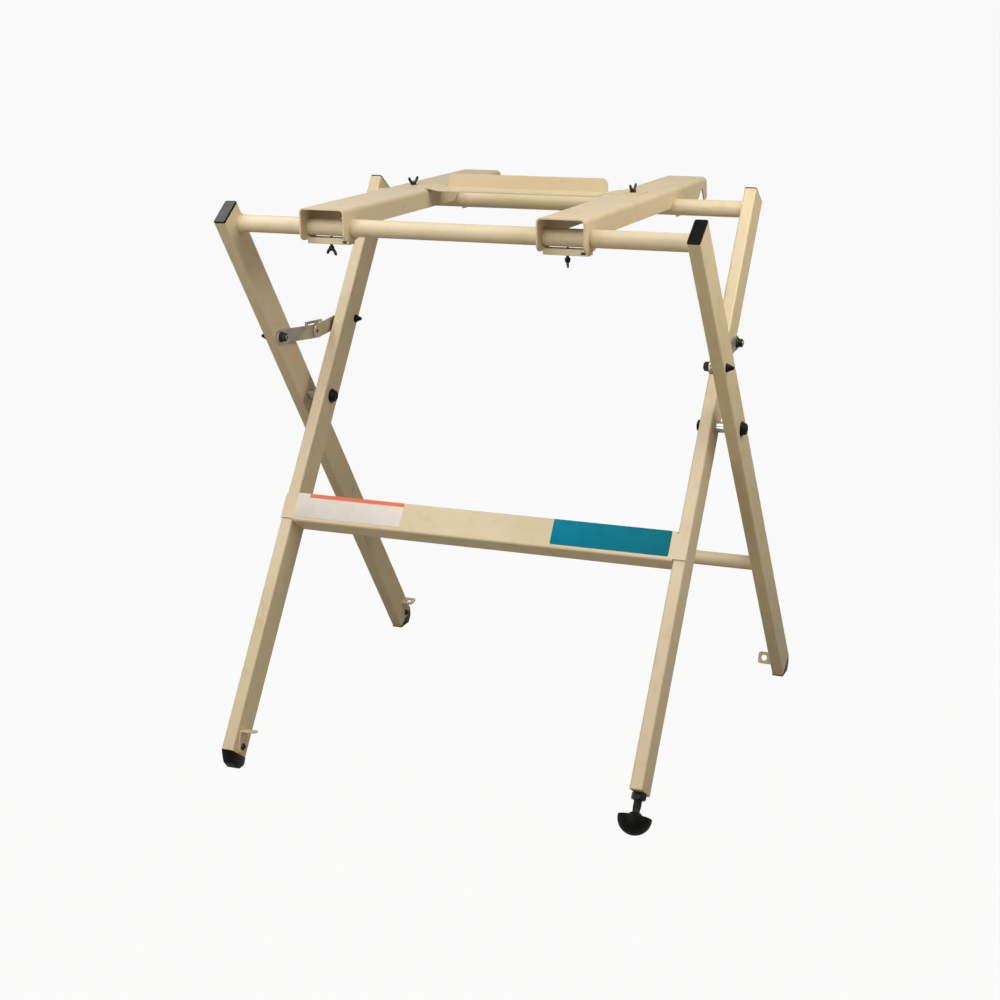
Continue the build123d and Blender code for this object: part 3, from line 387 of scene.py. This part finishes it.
def toMesh(name, shape, place=None, crease=40):
    bmesh.ops.remove_doubles(shape, verts=shape.verts, dist=merged)
    bmesh.ops.recalc_face_normals(shape, faces=shape.faces)
    mesh = bpy.data.meshes.new(name)
    shape.to_mesh(mesh)
    shape.free()
    if place is not None:
        mesh.transform(place)
    mesh.shade_smooth()
    mesh.set_sharp_from_angle(angle=math.radians(crease))
    return mesh


def joined(name, meshes):
    whole = bmesh.new()
    for mesh in meshes:
        whole.from_mesh(mesh)
    mesh = bpy.data.meshes.new(name)
    whole.to_mesh(mesh)
    whole.free()
    return mesh


def moved(x, y, z):
    return Matrix.Translation(Vector((x, y, z)) * mm)


def spun(angle, axis='Z'):
    return Matrix.Rotation(math.radians(angle), 4, axis)


def axisPlace(point, along, spin=0.0):
    # local +Z goes along a direction, from a point in millimetres
    turn = Vector(along).normalized().to_track_quat('Z', 'Y').to_matrix().to_4x4()
    return moved(*point) @ turn @ spun(spin)


def legAxes(kind):
    way = legs[kind]['way']
    up = Vector((0, way * math.sin(lean), math.cos(lean)))
    rear = Vector((0, math.cos(lean), -way * math.sin(lean)))
    return up, rear


def onLeg(kind, x, y, z):
    up, rear = legAxes(kind)
    return Vector((x, 0, pivotHeight)) + rear * y + up * z


def addPiece(name, mesh, body, slotName, *replaced):
    piece = bpy.data.objects.new(name, mesh)
    bpy.context.scene.collection.objects.link(piece)
    mesh.materials.clear()
    mesh.materials.append(finishOf[slotName])
    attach(piece, body)
    if replaced:
        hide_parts(*replaced)


# Geometry Nodes: a tree with named sizes, run once and kept as a plain mesh
def newTree(name, sizes):
    tree = bpy.data.node_groups.new(name, 'GeometryNodeTree')
    tree.interface.new_socket('Geometry', in_out='OUTPUT', socket_type='NodeSocketGeometry')
    for label, kind in sizes:
        tree.interface.new_socket(label, in_out='INPUT', socket_type='NodeSocket' + kind)
    return tree, tree.nodes.new('NodeGroupInput'), tree.nodes.new('NodeGroupOutput')


def treeNode(tree, kind, settings=None, **inputs):
    made = tree.nodes.new(kind)
    for key, value in (settings or {}).items():
        setattr(made, key, value)
    for key, value in inputs.items():
        socket = made.inputs[key.replace('_', ' ')]
        if isinstance(value, bpy.types.NodeSocket):
            tree.links.new(value, socket)
        else:
            socket.default_value = value
    return made


def closeTree(tree, end, geometry, material):
    real = treeNode(tree, 'GeometryNodeRealizeInstances', Geometry=geometry)
    smooth = treeNode(tree, 'GeometryNodeSetShadeSmooth', Geometry=real.outputs[0])
    painted = treeNode(tree, 'GeometryNodeSetMaterial', Geometry=smooth.outputs[0], Material=material)
    tree.links.new(painted.outputs[0], end.inputs[0])
    return tree


def grow(name, tree, place, values):
    host = bpy.data.objects.new(name, bpy.data.meshes.new(name))
    bpy.context.scene.collection.objects.link(host)
    maker = host.modifiers.new(name, 'NODES')
    maker.node_group = tree
    for item in tree.interface.items_tree:
        if item.item_type == 'SOCKET' and item.in_out == 'INPUT':
            maker[item.identifier] = values[item.name]
    ready = bpy.context.evaluated_depsgraph_get()
    mesh = bpy.data.meshes.new_from_object(host.evaluated_get(ready), depsgraph=ready)
    host.modifiers.clear()
    bpy.data.objects.remove(host)
    mesh.transform(place)
    return mesh


# Weld beads where the round tubes meet the legs; smallest and largest are shares of the bead
weld = {'bead': 1.5, 'spacing': 1.7, 'rise': 0.35, 'sink': 0.1, 'tubeRadius': 10.65, 'barRadius': 9.5,
        'tubeAlong': 300, 'tubeShift': 9.35, 'barAlong': -273,
        'smallest': (0.85, 0.85, 0.75), 'largest': (1.15, 1.15, 1.05)}


def makeBeadTree():
    tree, start, end = newTree('weldBead', [('Radius', 'Float'), ('Beads', 'Int'), ('Bead size', 'Float'),
                                            ('Seed', 'Int'), ('Material', 'Material')])
    ring = treeNode(tree, 'GeometryNodeCurvePrimitiveCircle', Radius=start.outputs['Radius'], Resolution=96)
    points = treeNode(tree, 'GeometryNodeCurveToPoints', {'mode': 'COUNT'}, Curve=ring.outputs[0],
                      Count=start.outputs['Beads'])
    bead = treeNode(tree, 'GeometryNodeMeshIcoSphere', Radius=start.outputs['Bead size'], Subdivisions=3)
    size = treeNode(tree, 'FunctionNodeRandomValue', {'data_type': 'FLOAT_VECTOR'},
                    Seed=start.outputs['Seed'])
    size.inputs[0].default_value = weld['smallest']
    size.inputs[1].default_value = weld['largest']
    spread = treeNode(tree, 'GeometryNodeInstanceOnPoints', Points=points.outputs[0],
                      Instance=bead.outputs[0], Scale=size.outputs[0])
    return closeTree(tree, end, spread.outputs[0], start.outputs['Material'])


def makeWelds():
    beadTree = makeBeadTree()
    jobs = [('outer', onLeg('outer', 0, weld['tubeShift'], weld['tubeAlong']), weld['tubeRadius']),
            ('outer', onLeg('outer', 0, 0, weld['barAlong']), weld['barRadius']),
            ('inner', onLeg('inner', 0, -weld['tubeShift'], weld['tubeAlong']), weld['tubeRadius'])]
    made = {'outer': [], 'inner': []}
    for number, (kind, centre, radius) in enumerate(jobs):
        for side in (-1, 1):
            face = side * (legs[kind]['inside'] - weld['sink'])
            made[kind].append(grow('bead', beadTree, axisPlace((face, centre.y, centre.z), (1, 0, 0)), {
                'Radius': (radius + weld['rise']) * mm, 'Beads': int(2 * math.pi * radius / weld['spacing']),
                'Bead size': weld['bead'] * mm, 'Seed': number * 2 + side,
                'Material': finishOf['frame_paint']}))
    for kind, meshes in made.items():
        body = legs[kind]['body']
        addPiece('welds_' + body, joined('welds', meshes), body, 'frame_paint')


makeWelds()
print('welds made')

# Black flanged plugs on the leg tops; rings are (inset, height) from the seat up
topCap = {'width': 16, 'depth': 40, 'corner': 2.6, 'seat': 325,
          'rings': [(0.5, 0.0), (0.0, 0.25), (0.0, 1.2), (0.5, 1.75), (1.5, 2.0), (4.0, 2.0)]}


def makeTopCaps(kind):
    up, rear = legAxes(kind)
    turn = Matrix((Vector((1, 0, 0)), rear, up)).transposed().to_4x4()
    meshes = []
    for side in (-1, 1):
        rings = [roundedRing(topCap['width'] - inset, topCap['depth'] - inset, topCap['corner'] - inset / 3,
                             height) for inset, height in topCap['rings']]
        seat = onLeg(kind, side * legs[kind]['x'], 0, topCap['seat'])
        meshes.append(toMesh('cap', lofted(rings), moved(*seat) @ turn, 50))
    body = legs[kind]['body']
    addPiece('caps_' + body, joined('caps', meshes), body, 'black_plastic', kind + '_leg_caps')


makeTopCaps('outer')
makeTopCaps('inner')

# Round caps over the pivot bolts
pivotCap = {'profile': [(0, 0), (9.2, 0), (9.5, 0.3), (9.5, 1.4), (9.1, 1.95), (7.8, 2.1), (7.5, 2.5),
                        (7.4, 5.0), (7.0, 6.1), (6.1, 6.8), (4.6, 7.0), (3.9, 6.7), (3.4, 6.1), (0, 6.0)],
            'sides': 56, 'outer': 308, 'inner': 258.7}


def makePivotCaps(name, seat, way, node):
    meshes = [toMesh('cap', turned(pivotCap['profile'], pivotCap['sides']),
                     axisPlace((side * seat, 0, pivotHeight), (side * way, 0, 0))) for side in (-1, 1)]
    addPiece(name, joined(name, meshes), 'outer_frame', 'black_plastic', node)


makePivotCaps('pivotCapsOuter', pivotCap['outer'], 1, 'pivot_caps_outer')
makePivotCaps('pivotCapsInner', pivotCap['inner'], -1, 'pivot_caps_inner')

# Cones over the stay bolts
cone = {'profile': [(0, 0), (5.3, 0), (5.6, 0.3), (5.6, 1.0), (5.1, 1.5), (3.5, 5.0), (2.2, 8.2),
                    (1.6, 9.2), (0.9, 9.5), (0, 9.5)],
        'seat': {'outer': 308, 'inner': 259}, 'along': 121, 'off': 11.5}


def makeCones():
    for kind, leg in legs.items():
        meshes = []
        for side in (-1, 1):
            seat = onLeg(kind, side * cone['seat'][kind], leg['way'] * cone['off'], cone['along'])
            meshes.append(toMesh('cone', turned(cone['profile']), axisPlace(seat, (-side * leg['way'], 0, 0))))
        addPiece('cones_' + kind, joined('cones', meshes), leg['body'], 'black_plastic', kind + '_stay_cones')


makeCones()
print('caps made')

# Nuts: a chamfered hexagon, with a flange where there is one
nutShape = {'corner': 0.577, 'chamfer': 0.8, 'hexFrom': 2.4, 'sides': 72}


def nutMesh(across, height, flange, bore, place):
    top = across * nutShape['corner'] + 0.05
    cut = nutShape['chamfer']

    def side(angle, radius, level):
        if radius <= bore + cut or (flange and level < nutShape['hexFrom']):
            return radius
        return min(across / 2 / math.cos(fromFlat(angle)), radius)

    if flange:
        start = [(bore, 0), (flange - 0.4, 0), (flange, 0.4), (flange, 1.1), (flange - 0.5, 1.6),
                 (across * 0.60, 2.2), (top, 2.5)]
    else:
        start = [(bore, 0.5), (bore + 0.7, 0), (across / 2 - 0.2, 0), (top, cut)]
    end = [(top, height - cut), (across / 2 - 0.2, height), (bore + 0.7, height), (bore, height - 0.5)]
    return toMesh('nut', turned(start + end, nutShape['sides'], side, closed=True), place, 30)


# Threads: a four-sided tooth wound round a core; tooth and core are set back from the crest
thread = {'tooth': 0.38, 'toothBack': 0.4, 'coreBack': 0.35, 'tip': 0.9, 'chamfer': 0.5, 'steps': 28}


def makeThreadTree():
    tree, start, end = newTree('screwThread', [('Radius', 'Float'), ('Turns', 'Float'), ('Length', 'Float'),
                                               ('Depth', 'Float'), ('Material', 'Material')])
    spiral = treeNode(tree, 'GeometryNodeCurveSpiral', Resolution=thread['steps'],
                      Rotations=start.outputs['Turns'], Start_Radius=start.outputs['Radius'],
                      End_Radius=start.outputs['Radius'], Height=start.outputs['Length'])
    tooth = treeNode(tree, 'GeometryNodeCurvePrimitiveCircle', Resolution=4, Radius=start.outputs['Depth'])
    wound = treeNode(tree, 'GeometryNodeCurveToMesh', Curve=spiral.outputs[0],
                     Profile_Curve=tooth.outputs[0], Fill_Caps=True)
    return closeTree(tree, end, wound.outputs[0], start.outputs['Material'])


threadTree = makeThreadTree()


def boltEnd(radius, length, pitch, place, slotName):
    # a threaded end with a chamfered tip, base at 0
    inner = radius - thread['coreBack']
    core = toMesh('core', turned([(0, 0), (inner, 0), (inner, length - thread['chamfer']),
                                  (radius - thread['tip'], length), (0, length)], 32), place)
    wound = length - thread['tip']
    coil = grow('thread', threadTree, place, {
        'Radius': (radius - thread['toothBack']) * mm, 'Turns': wound / pitch, 'Length': wound * mm,
        'Depth': pitch * thread['tooth'] * mm, 'Material': finishOf[slotName]})
    return [core, coil]


# Flange nuts of the lock stays and the bolt ends that stand out of them
flangeNut = {'across': 10, 'flange': 6.8, 'height': 7, 'bore': 3.08, 'seat': {'outer': 287.9, 'inner': 279.1},
             'spin': {-1: 40, 1: 12}, 'bolt': 2.9, 'boltFrom': 3.0, 'boltEnd': 1.0, 'pitch': 1.0}


def makeStayHardware():
    for kind, leg in legs.items():
        nuts, ends = [], []
        for side in (-1, 1):
            outward = side * leg['way']
            at = onLeg(kind, side * flangeNut['seat'][kind], leg['way'] * cone['off'], cone['along'])
            nuts.append(nutMesh(flangeNut['across'], flangeNut['height'], flangeNut['flange'], flangeNut['bore'],
                                axisPlace(at, (outward, 0, 0), flangeNut['spin'][side])))
            tip = axisPlace(at + Vector((outward * flangeNut['boltFrom'], 0, 0)), (outward, 0, 0))
            ends += boltEnd(flangeNut['bolt'], flangeNut['height'] + flangeNut['boltEnd'] - flangeNut['boltFrom'],
                            flangeNut['pitch'], tip, 'zinc')
        addPiece('nuts_' + kind, joined('nuts', nuts), leg['body'], 'black_steel', kind + '_stay_nuts')
        addPiece('boltEnds_' + kind, joined('ends', ends), leg['body'], 'zinc')


makeStayHardware()

# Hollow rivets with a rolled rim
rivet = {'profile': [(1.6, -2.5), (2.8, -2.5), (2.8, 0), (4.3, 0), (4.6, 0.3), (4.5, 0.8), (3.9, 1.25),
                     (3.0, 1.4), (2.1, 1.25), (1.6, 0.7)], 'x': 281.6, 'z': 513}


def makeRivets():
    for side, word in ((-1, 'left'), (1, 'right')):
        mesh = toMesh('rivet', turned(rivet['profile'], closed=True),
                      axisPlace((side * rivet['x'], 0, rivet['z']), (side, 0, 0)))
        addPiece('rivet_' + word, mesh, 'outer_stay_' + word, 'black_steel', 'stay_rivet_' + word)


makeRivets()
print('stay hardware made')

# Wing nuts and wing screws: a turned hub with two rounded ears
earRows = [(-1.2, 0.8), (-0.92, 0.2), (0, 0), (0.92, 0.2), (1.2, 0.8)]  # depth and how far it is pulled in
plateNut = {'seat': 703.4, 'y': 78.0, 'turns': {'left': 79.4, 'right': 86.3}, 'x': {'left': -167, 'right': 138.5},
            'studTop': 709.0, 'studLow': 699.0, 'studRadius': 2.5, 'pitch': 0.8,
            'studHead': [(0, -2.2), (4.4, -2.2), (4.8, -1.8), (5.0, -0.8), (5.0, 0), (0, 0)],
            'hub': [(2.6, 0.0), (3.6, 0.0), (4.0, 0.4), (3.9, 2.0), (3.6, 4.3), (3.2, 4.8), (2.7, 4.8)],
            'ear': [(2.8, 1.0), (4.6, 1.5), (7.2, 3.1), (9.2, 4.9), (10.5, 6.6), (11.0, 8.2), (10.8, 9.4),
                    (10.0, 10.2), (8.8, 10.1), (7.4, 9.0), (5.8, 6.8), (4.6, 5.0), (2.8, 4.2)]}
clampScrew = {'seat': 652.94, 'y': -165.7, 'turns': {'left': 31.6, 'right': 68}, 'tip': 665.25, 'radius': 2.0,
              'pitch': 0.7, 'sink': 0.5,
              'hub': [(0, 0), (3.0, 0.0), (3.4, 0.4), (3.3, 3.0), (3.0, 5.0), (2.5, 5.5), (0, 5.5)],
              'ear': [(2.2, 1.2), (4.2, 1.8), (7.0, 3.4), (9.2, 5.2), (10.5, 7.0), (11.0, 8.6), (10.8, 9.8),
                      (10.0, 10.5), (8.8, 10.4), (7.4, 9.3), (5.6, 7.2), (4.2, 5.7), (2.2, 4.9)]}


def earMesh(outline):
    shape = bmesh.new()
    points = [Vector(point) for point in outline]
    middle = sum(points, Vector((0, 0))) / len(points)
    rows = []
    for depth, inset in earRows:
        row = []
        for point in points:
            pull = middle - point
            inner = point + pull.normalized() * min(inset, pull.length)
            row.append(shape.verts.new((inner.x * mm, depth * mm, inner.y * mm)))
        rows.append(row)
    for low, high in zip(rows, rows[1:]):
        for step in range(len(points)):
            after = (step + 1) % len(points)
            shape.faces.new((low[step], low[after], high[after], high[step]))
    shape.faces.new(rows[0])
    shape.faces.new(rows[-1])
    return toMesh('ear', shape, None, 60)


def wingMesh(design, place, bored):
    meshes = [toMesh('hub', turned(design['hub'], closed=bored), None, 45)]
    meshes += [earMesh([(side * x, z) for x, z in design['ear']]) for side in (-1, 1)]
    whole = joined('wings', meshes)
    whole.transform(place)
    return whole


def makeWings():
    studs = []
    for word, x in plateNut['x'].items():
        nut = moved(x, plateNut['y'], plateNut['seat']) @ spun(plateNut['turns'][word])
        addPiece('wingNut_' + word, wingMesh(plateNut, nut, True), 'plate_nut_' + word, 'black_steel',
                 'wing_nut_' + word)
        base = moved(x, plateNut['y'], plateNut['studLow'])
        studs += boltEnd(plateNut['studRadius'], plateNut['studTop'] - plateNut['studLow'],
                         plateNut['pitch'], base, 'zinc')
        studs.append(toMesh('head', turned(plateNut['studHead']), base))
        screw = moved(x, clampScrew['y'], clampScrew['seat']) @ spun(180, 'X') @ spun(clampScrew['turns'][word])
        low = clampScrew['seat'] - clampScrew['sink']
        stem = boltEnd(clampScrew['radius'], clampScrew['tip'] - low, clampScrew['pitch'],
                       moved(x, clampScrew['y'], low), 'black_steel')
        addPiece('clampScrew_' + word, joined('screw', [wingMesh(clampScrew, screw, False)] + stem),
                 'clamp_screw_' + word, 'black_steel', 'clamp_bolt_' + word)
    addPiece('plateStuds', joined('studs', studs), 'top_rack', 'zinc', 'plate_studs')


makeWings()
print('wing screws made')

# Levelling foot: a domed pad square to the leg, cut flat where it stands; heights count from the dome's centre
leveler = {'centre': -497.12, 'radius': 20.5, 'domeSteps': 18, 'floor': 0.02, 'sides': 72,
           'collar': [(20.5, 0.8), (20.3, 1.3), (19.7, 1.5), (17.0, 1.25), (11.0, 1.2), (10.2, 1.5), (9.4, 2.1),
                      (7.0, 5.3), (6.4, 6.0), (5.2, 6.0), (4.6, 5.4), (0, 5.4)],
           'neckLow': 2.0, 'neckRadius': 4.5, 'neck': 9.0, 'studTop': -437.0, 'studRadius': 5.0, 'pitch': 1.5,
           'nutLow': -475.73, 'nutHeight': 8.4, 'nutAcross': 16.0, 'nutPlay': 0.08, 'nutTurn': 30}


def onLeveler(along, spin=0.0):
    up, rear = legAxes('inner')
    return axisPlace(onLeg('inner', legs['inner']['x'], 0, along), up, spin)


def makeLeveler():
    dome = []
    for step in range(leveler['domeSteps'] + 1):
        angle = math.pi / 2 * step / leveler['domeSteps']
        dome.append((leveler['radius'] * math.sin(angle), -leveler['radius'] * math.cos(angle)))
    shape = turned(dome + leveler['collar'], leveler['sides'])
    shape.transform(onLeveler(leveler['centre']))
    cut = bmesh.ops.bisect_plane(shape, geom=shape.verts[:] + shape.edges[:] + shape.faces[:], dist=merged,
                                 plane_co=(0, 0, leveler['floor'] * mm), plane_no=(0, 0, -1),
                                 clear_outer=True)
    rim = [item for item in cut['geom_cut'] if isinstance(item, bmesh.types.BMEdge)]
    bmesh.ops.contextual_create(shape, geom=rim)
    addPiece('levelerPad', toMesh('pad', shape), 'leveling_foot', 'black_rubber', 'leveler_pad')
    neck = [(0, 0), (leveler['neckRadius'], 0), (leveler['neckRadius'], leveler['neck']), (0, leveler['neck'])]
    base = leveler['centre'] + leveler['neckLow']
    start = base + leveler['neck']
    meshes = [toMesh('neck', turned(neck), onLeveler(base))]
    meshes += boltEnd(leveler['studRadius'], leveler['studTop'] - start, leveler['pitch'], onLeveler(start),
                      'black_steel')
    addPiece('levelerStud', joined('stud', meshes), 'leveling_foot', 'black_steel', 'leveler_stud')
    nut = nutMesh(leveler['nutAcross'], leveler['nutHeight'], 0, leveler['studRadius'] + leveler['nutPlay'],
                  onLeveler(leveler['nutLow'], leveler['nutTurn']))
    addPiece('levelerNut', nut, 'leveling_nut', 'black_steel', 'leveler_lock_nut')


makeLeveler()
print('levelling foot made')

# Moulded feet: a rounded side outline, pulled in at both faces. Flats are shares of the leg's depth on the
# floor; heel and toe are how far the upper corner stands out, and at which share of the height
feet = {'width': 15.9, 'round': 1.2, 'shoulder': 1.44,
        'rearFlat': 0.84, 'rearHeel': (2, 0.45), 'rearCorners': [0, 0.4, 3, 4, 0],
        'frontFlat': (0.42, 0.12), 'frontToe': (2, 0.42), 'frontCorners': [0.5, 13, 13, 5, 0.5]}


def roundedPath(points, radii, steps=6):
    # each corner becomes an arc
    path = []
    for index, (point, radius) in enumerate(zip(points, radii)):
        here = Vector(point)
        if radius == 0:
            path.append(tuple(here))
            continue
        before = Vector(points[index - 1]) - here
        after = Vector(points[(index + 1) % len(points)]) - here
        angle = before.angle(after)
        reach = min(radius / math.tan(angle / 2), before.length * 0.49, after.length * 0.49)
        first, last = here + before.normalized() * reach, here + after.normalized() * reach
        for step in range(steps + 1):
            t = step / steps
            path.append(tuple((1 - t) ** 2 * first + 2 * t * (1 - t) * here + t ** 2 * last))
    return path


def footMesh(outline, x):
    middle = Vector((sum(y for y, z in outline), sum(z for y, z in outline))) / len(outline)
    rows = []
    for share, pull in ((-0.5, feet['round']), (-0.5, 0), (0.5, 0), (0.5, feet['round'])):
        edge = share * (feet['width'] - (0 if pull else feet['shoulder']))
        row = []
        for y, z in outline:
            toward = (middle - Vector((y, z))).normalized() * pull
            row.append(((x + edge) * mm, (y + toward.x) * mm, (z + toward.y) * mm))
        rows.append(row)
    return toMesh('foot', lofted(rows), None, 50)


def legEnd(kind):
    # the front and rear corner of a leg's cut lower end
    up, rear = legAxes(kind)
    end = onLeg(kind, 0, 0, legs[kind]['low'])
    front, back = end - rear * halfDepth, end + rear * halfDepth
    return front, back, back.y - front.y


def makeFeet():
    front, back, depth = legEnd('outer')
    out, share = feet['rearHeel']
    outline = [(front.y, front.z), (front.y, 0), (front.y + feet['rearFlat'] * depth, 0),
               (back.y + out, share * back.z), (back.y, back.z)]
    path = roundedPath(outline, feet['rearCorners'])
    for side, word in ((-1, 'left'), (1, 'right')):
        addPiece('rearFoot_' + word, footMesh(path, side * legs['outer']['x']), 'outer_frame',
                 'black_plastic', 'rear_foot_' + word)
    front, back, depth = legEnd('inner')
    out, share = feet['frontToe']
    start, stop = feet['frontFlat']
    outline = [(front.y, front.z), (front.y + out, share * front.z), (front.y + start * depth, 0),
               (back.y - stop * depth, 0), (back.y, back.z)]
    path = roundedPath(outline, feet['frontCorners'])
    addPiece('frontFoot', footMesh(path, -legs['inner']['x']), 'inner_frame', 'black_plastic',
             'front_foot_left')


makeFeet()
print('feet made')

# Socket screws of the corner brackets
bracketScrew = {'profile': [(0, 0), (4.2, 0), (4.5, 0.3), (4.5, 0.9), (4.2, 1.8), (3.4, 2.5), (2.5, 2.8),
                            (2.1, 2.8), (1.95, 2.6), (1.9, 1.3), (0, 1.1)],
                'sides': 48, 'socket': 2.05, 'socketShare': 0.9, 'rise': 10, 'shift': 1, 'sheet': 2}


def bracketScrewMesh(kind, side):
    def socket(angle, radius, height):
        if radius > bracketScrew['socket']:
            return radius
        return radius * bracketScrew['socketShare'] / math.cos(fromFlat(angle))
    at = onLeg(kind, side * (legs[kind]['inside'] - bracketScrew['sheet']), bracketScrew['shift'],
               legs[kind]['low'] + bracketScrew['rise'])
    return toMesh('screw', turned(bracketScrew['profile'], bracketScrew['sides'], socket),
                  axisPlace(at, (-side, 0, 0)))


rearScrews = [bracketScrewMesh('outer', side) for side in (-1, 1)]
addPiece('rearScrews', joined('screws', rearScrews), 'outer_frame', 'black_steel', 'rear_bracket_screws')
addPiece('frontScrew', bracketScrewMesh('inner', -1), 'inner_frame', 'black_steel', 'front_bracket_screw')
print('bracket screws made')

# Labels: thin plates with rounded corners and a face map; left and right are (start, end) along the web
label = {'height': 33, 'top': -148.7, 'web': -21.5, 'thickness': 0.4, 'corner': 1.8, 'edge': (0.1, 0.25),
         'left': (-258.0, -105.5), 'right': (99.5, 252.5)}


def makeLabel(name, start, end, slotName, node):
    width, height, thickness = end - start, label['height'], label['thickness']
    drop, pull = label['edge']
    rings = [roundedRing(width - inset, height - inset, label['corner'], level)
             for inset, level in ((0, 0), (0, thickness - drop), (pull, thickness))]
    mesh = toMesh(name, lofted(rings), None, 30)
    face = mesh.uv_layers.new(name='face')
    for loop in mesh.loops:
        point = mesh.vertices[loop.vertex_index].co
        face.data[loop.index].uv = (point.x / (width * mm) + 0.5, point.y / (height * mm) + 0.5)
    up, rear = legAxes('inner')
    turn = Matrix((Vector((1, 0, 0)), up, -rear)).transposed().to_4x4()
    at = onLeg('inner', (start + end) / 2, label['web'], label['top'] - height / 2)
    mesh.transform(moved(*at) @ turn)
    addPiece(name, mesh, 'inner_frame', slotName, node)


makeLabel('labelPale', *label['left'], 'label_pale', 'label_left')
makeLabel('labelTeal', *label['right'], 'label_teal', 'label_right')
print('labels made')

# Floor: white to the camera, sand-coloured to the light that it throws back; half is in metres
floorLook = {'half': 400, 'colour': (0.33, 0.30, 0.22, 1), 'seen': 0.95, 'shiny': 0.3}


def whiteWhen(shade, seenShare, shinyShare):
    # how far a ray gets plain white: the camera's, and a reflection's
    seen = shade.node('ShaderNodeLightPath', out='Is Camera Ray')
    shiny = shade.node('ShaderNodeLightPath', out='Is Glossy Ray')
    return seen * seenShare + shiny * shinyShare


def makeFloor():
    shade = Shade('floorWhite')
    dull = shade.node('ShaderNodeBsdfDiffuse', None, {'Color': floorLook['colour']})
    bright = shade.node('ShaderNodeEmission', None, {'Color': (1, 1, 1, 1), 'Strength': 1.0})
    share = whiteWhen(shade, floorLook['seen'], floorLook['shiny'])
    shade.close(shade.node('ShaderNodeMixShader', None, {0: share, 1: dull, 2: bright}))
    half = floorLook['half']
    mesh = bpy.data.meshes.new('floor')
    mesh.from_pydata([(-half, -half, 0), (half, -half, 0), (half, half, 0), (-half, half, 0)], [],
                     [(0, 1, 2, 3)])
    mesh.materials.append(shade.material)
    floor = bpy.data.objects.new('floor', mesh)
    bpy.context.scene.collection.objects.link(floor)


makeFloor()
light = {'world': 0.04, 'seen': 1.0, 'shiny': 0.4, 'tint': (1.0, 0.93, 0.80, 1), 'aim': (0, 0, 0.4),
         'white': (1.0, 1.0, 1.0), 'warm': (1.0, 0.95, 0.79),
         'lamps': {  # watts, size and place in metres, tone
             'over': (21, 1.5, (0.1, -1.05, 2.1), 'white'),
             'leftOver': (10, 0.6, (-1.2, 0.15, 2.2), 'white'),
             'leftTop': (2.8, 0.5, (-0.5, -0.65, 1.08), 'white'),
             'front': (4.1, 0.6, (-0.1, -1.6, 0.4), 'warm'),
             'rightSide': (5.8, 0.6, (0.85, 0.0, 1.15), 'warm'),
             'rightLow': (1.7, 0.6, (1.1, -0.5, 0.6), 'warm')}}


def makeLight():
    world = bpy.data.worlds.new('studio')
    bpy.context.scene.world = world
    shade = Shade('studio', world)
    soft = shade.node('ShaderNodeBackground', None, {'Color': light['tint'], 'Strength': light['world']})
    white = shade.node('ShaderNodeBackground', None, {'Color': (1, 1, 1, 1), 'Strength': 1.0})
    share = whiteWhen(shade, light['seen'], light['shiny'])
    shade.close(shade.node('ShaderNodeMixShader', None, {0: share, 1: soft, 2: white}),
                'ShaderNodeOutputWorld')
    for name, (power, size, spot, tone) in light['lamps'].items():
        lamp = bpy.data.lights.new(name, 'AREA')
        lamp.energy = power
        lamp.size = size
        lamp.color = light[tone]
        holder = bpy.data.objects.new(name, lamp)
        bpy.context.scene.collection.objects.link(holder)
        holder.location = spot
        holder.visible_camera = False
        holder.rotation_mode = 'QUATERNION'
        holder.rotation_quaternion = (Vector(light['aim']) - Vector(spot)).to_track_quat('-Z', 'Y')


makeLight()
# the photograph's camera: place in metres, angles in radians, lens in millimetres
view = {'spot': (0.87161, -2.20088, 0.96208), 'yaw': -0.38305, 'pitch': -0.27076, 'roll': -0.00784,
        'lens': 67.24, 'sensor': 36, 'clip': 1000}


def makeCamera():
    yaw, pitch, roll = view['yaw'], view['pitch'], view['roll']
    ahead = Vector((math.sin(yaw) * math.cos(pitch), math.cos(yaw) * math.cos(pitch), math.sin(pitch)))
    right = Vector((math.cos(yaw), -math.sin(yaw), 0))
    above = right.cross(ahead)
    across = math.cos(roll) * right + math.sin(roll) * above
    upward = -math.sin(roll) * right + math.cos(roll) * above
    data = bpy.data.cameras.new('photo')
    data.sensor_width = view['sensor']
    data.lens = view['lens']
    data.clip_end = view['clip']
    camera = bpy.data.objects.new('photo', data)
    bpy.context.scene.collection.objects.link(camera)
    turn = Matrix((across, upward, -ahead)).transposed().to_4x4()
    camera.matrix_world = Matrix.Translation(Vector(view['spot'])) @ turn
    bpy.context.scene.camera = camera


makeCamera()
bpy.context.scene.view_settings.view_transform = 'Standard'
print('scene made')
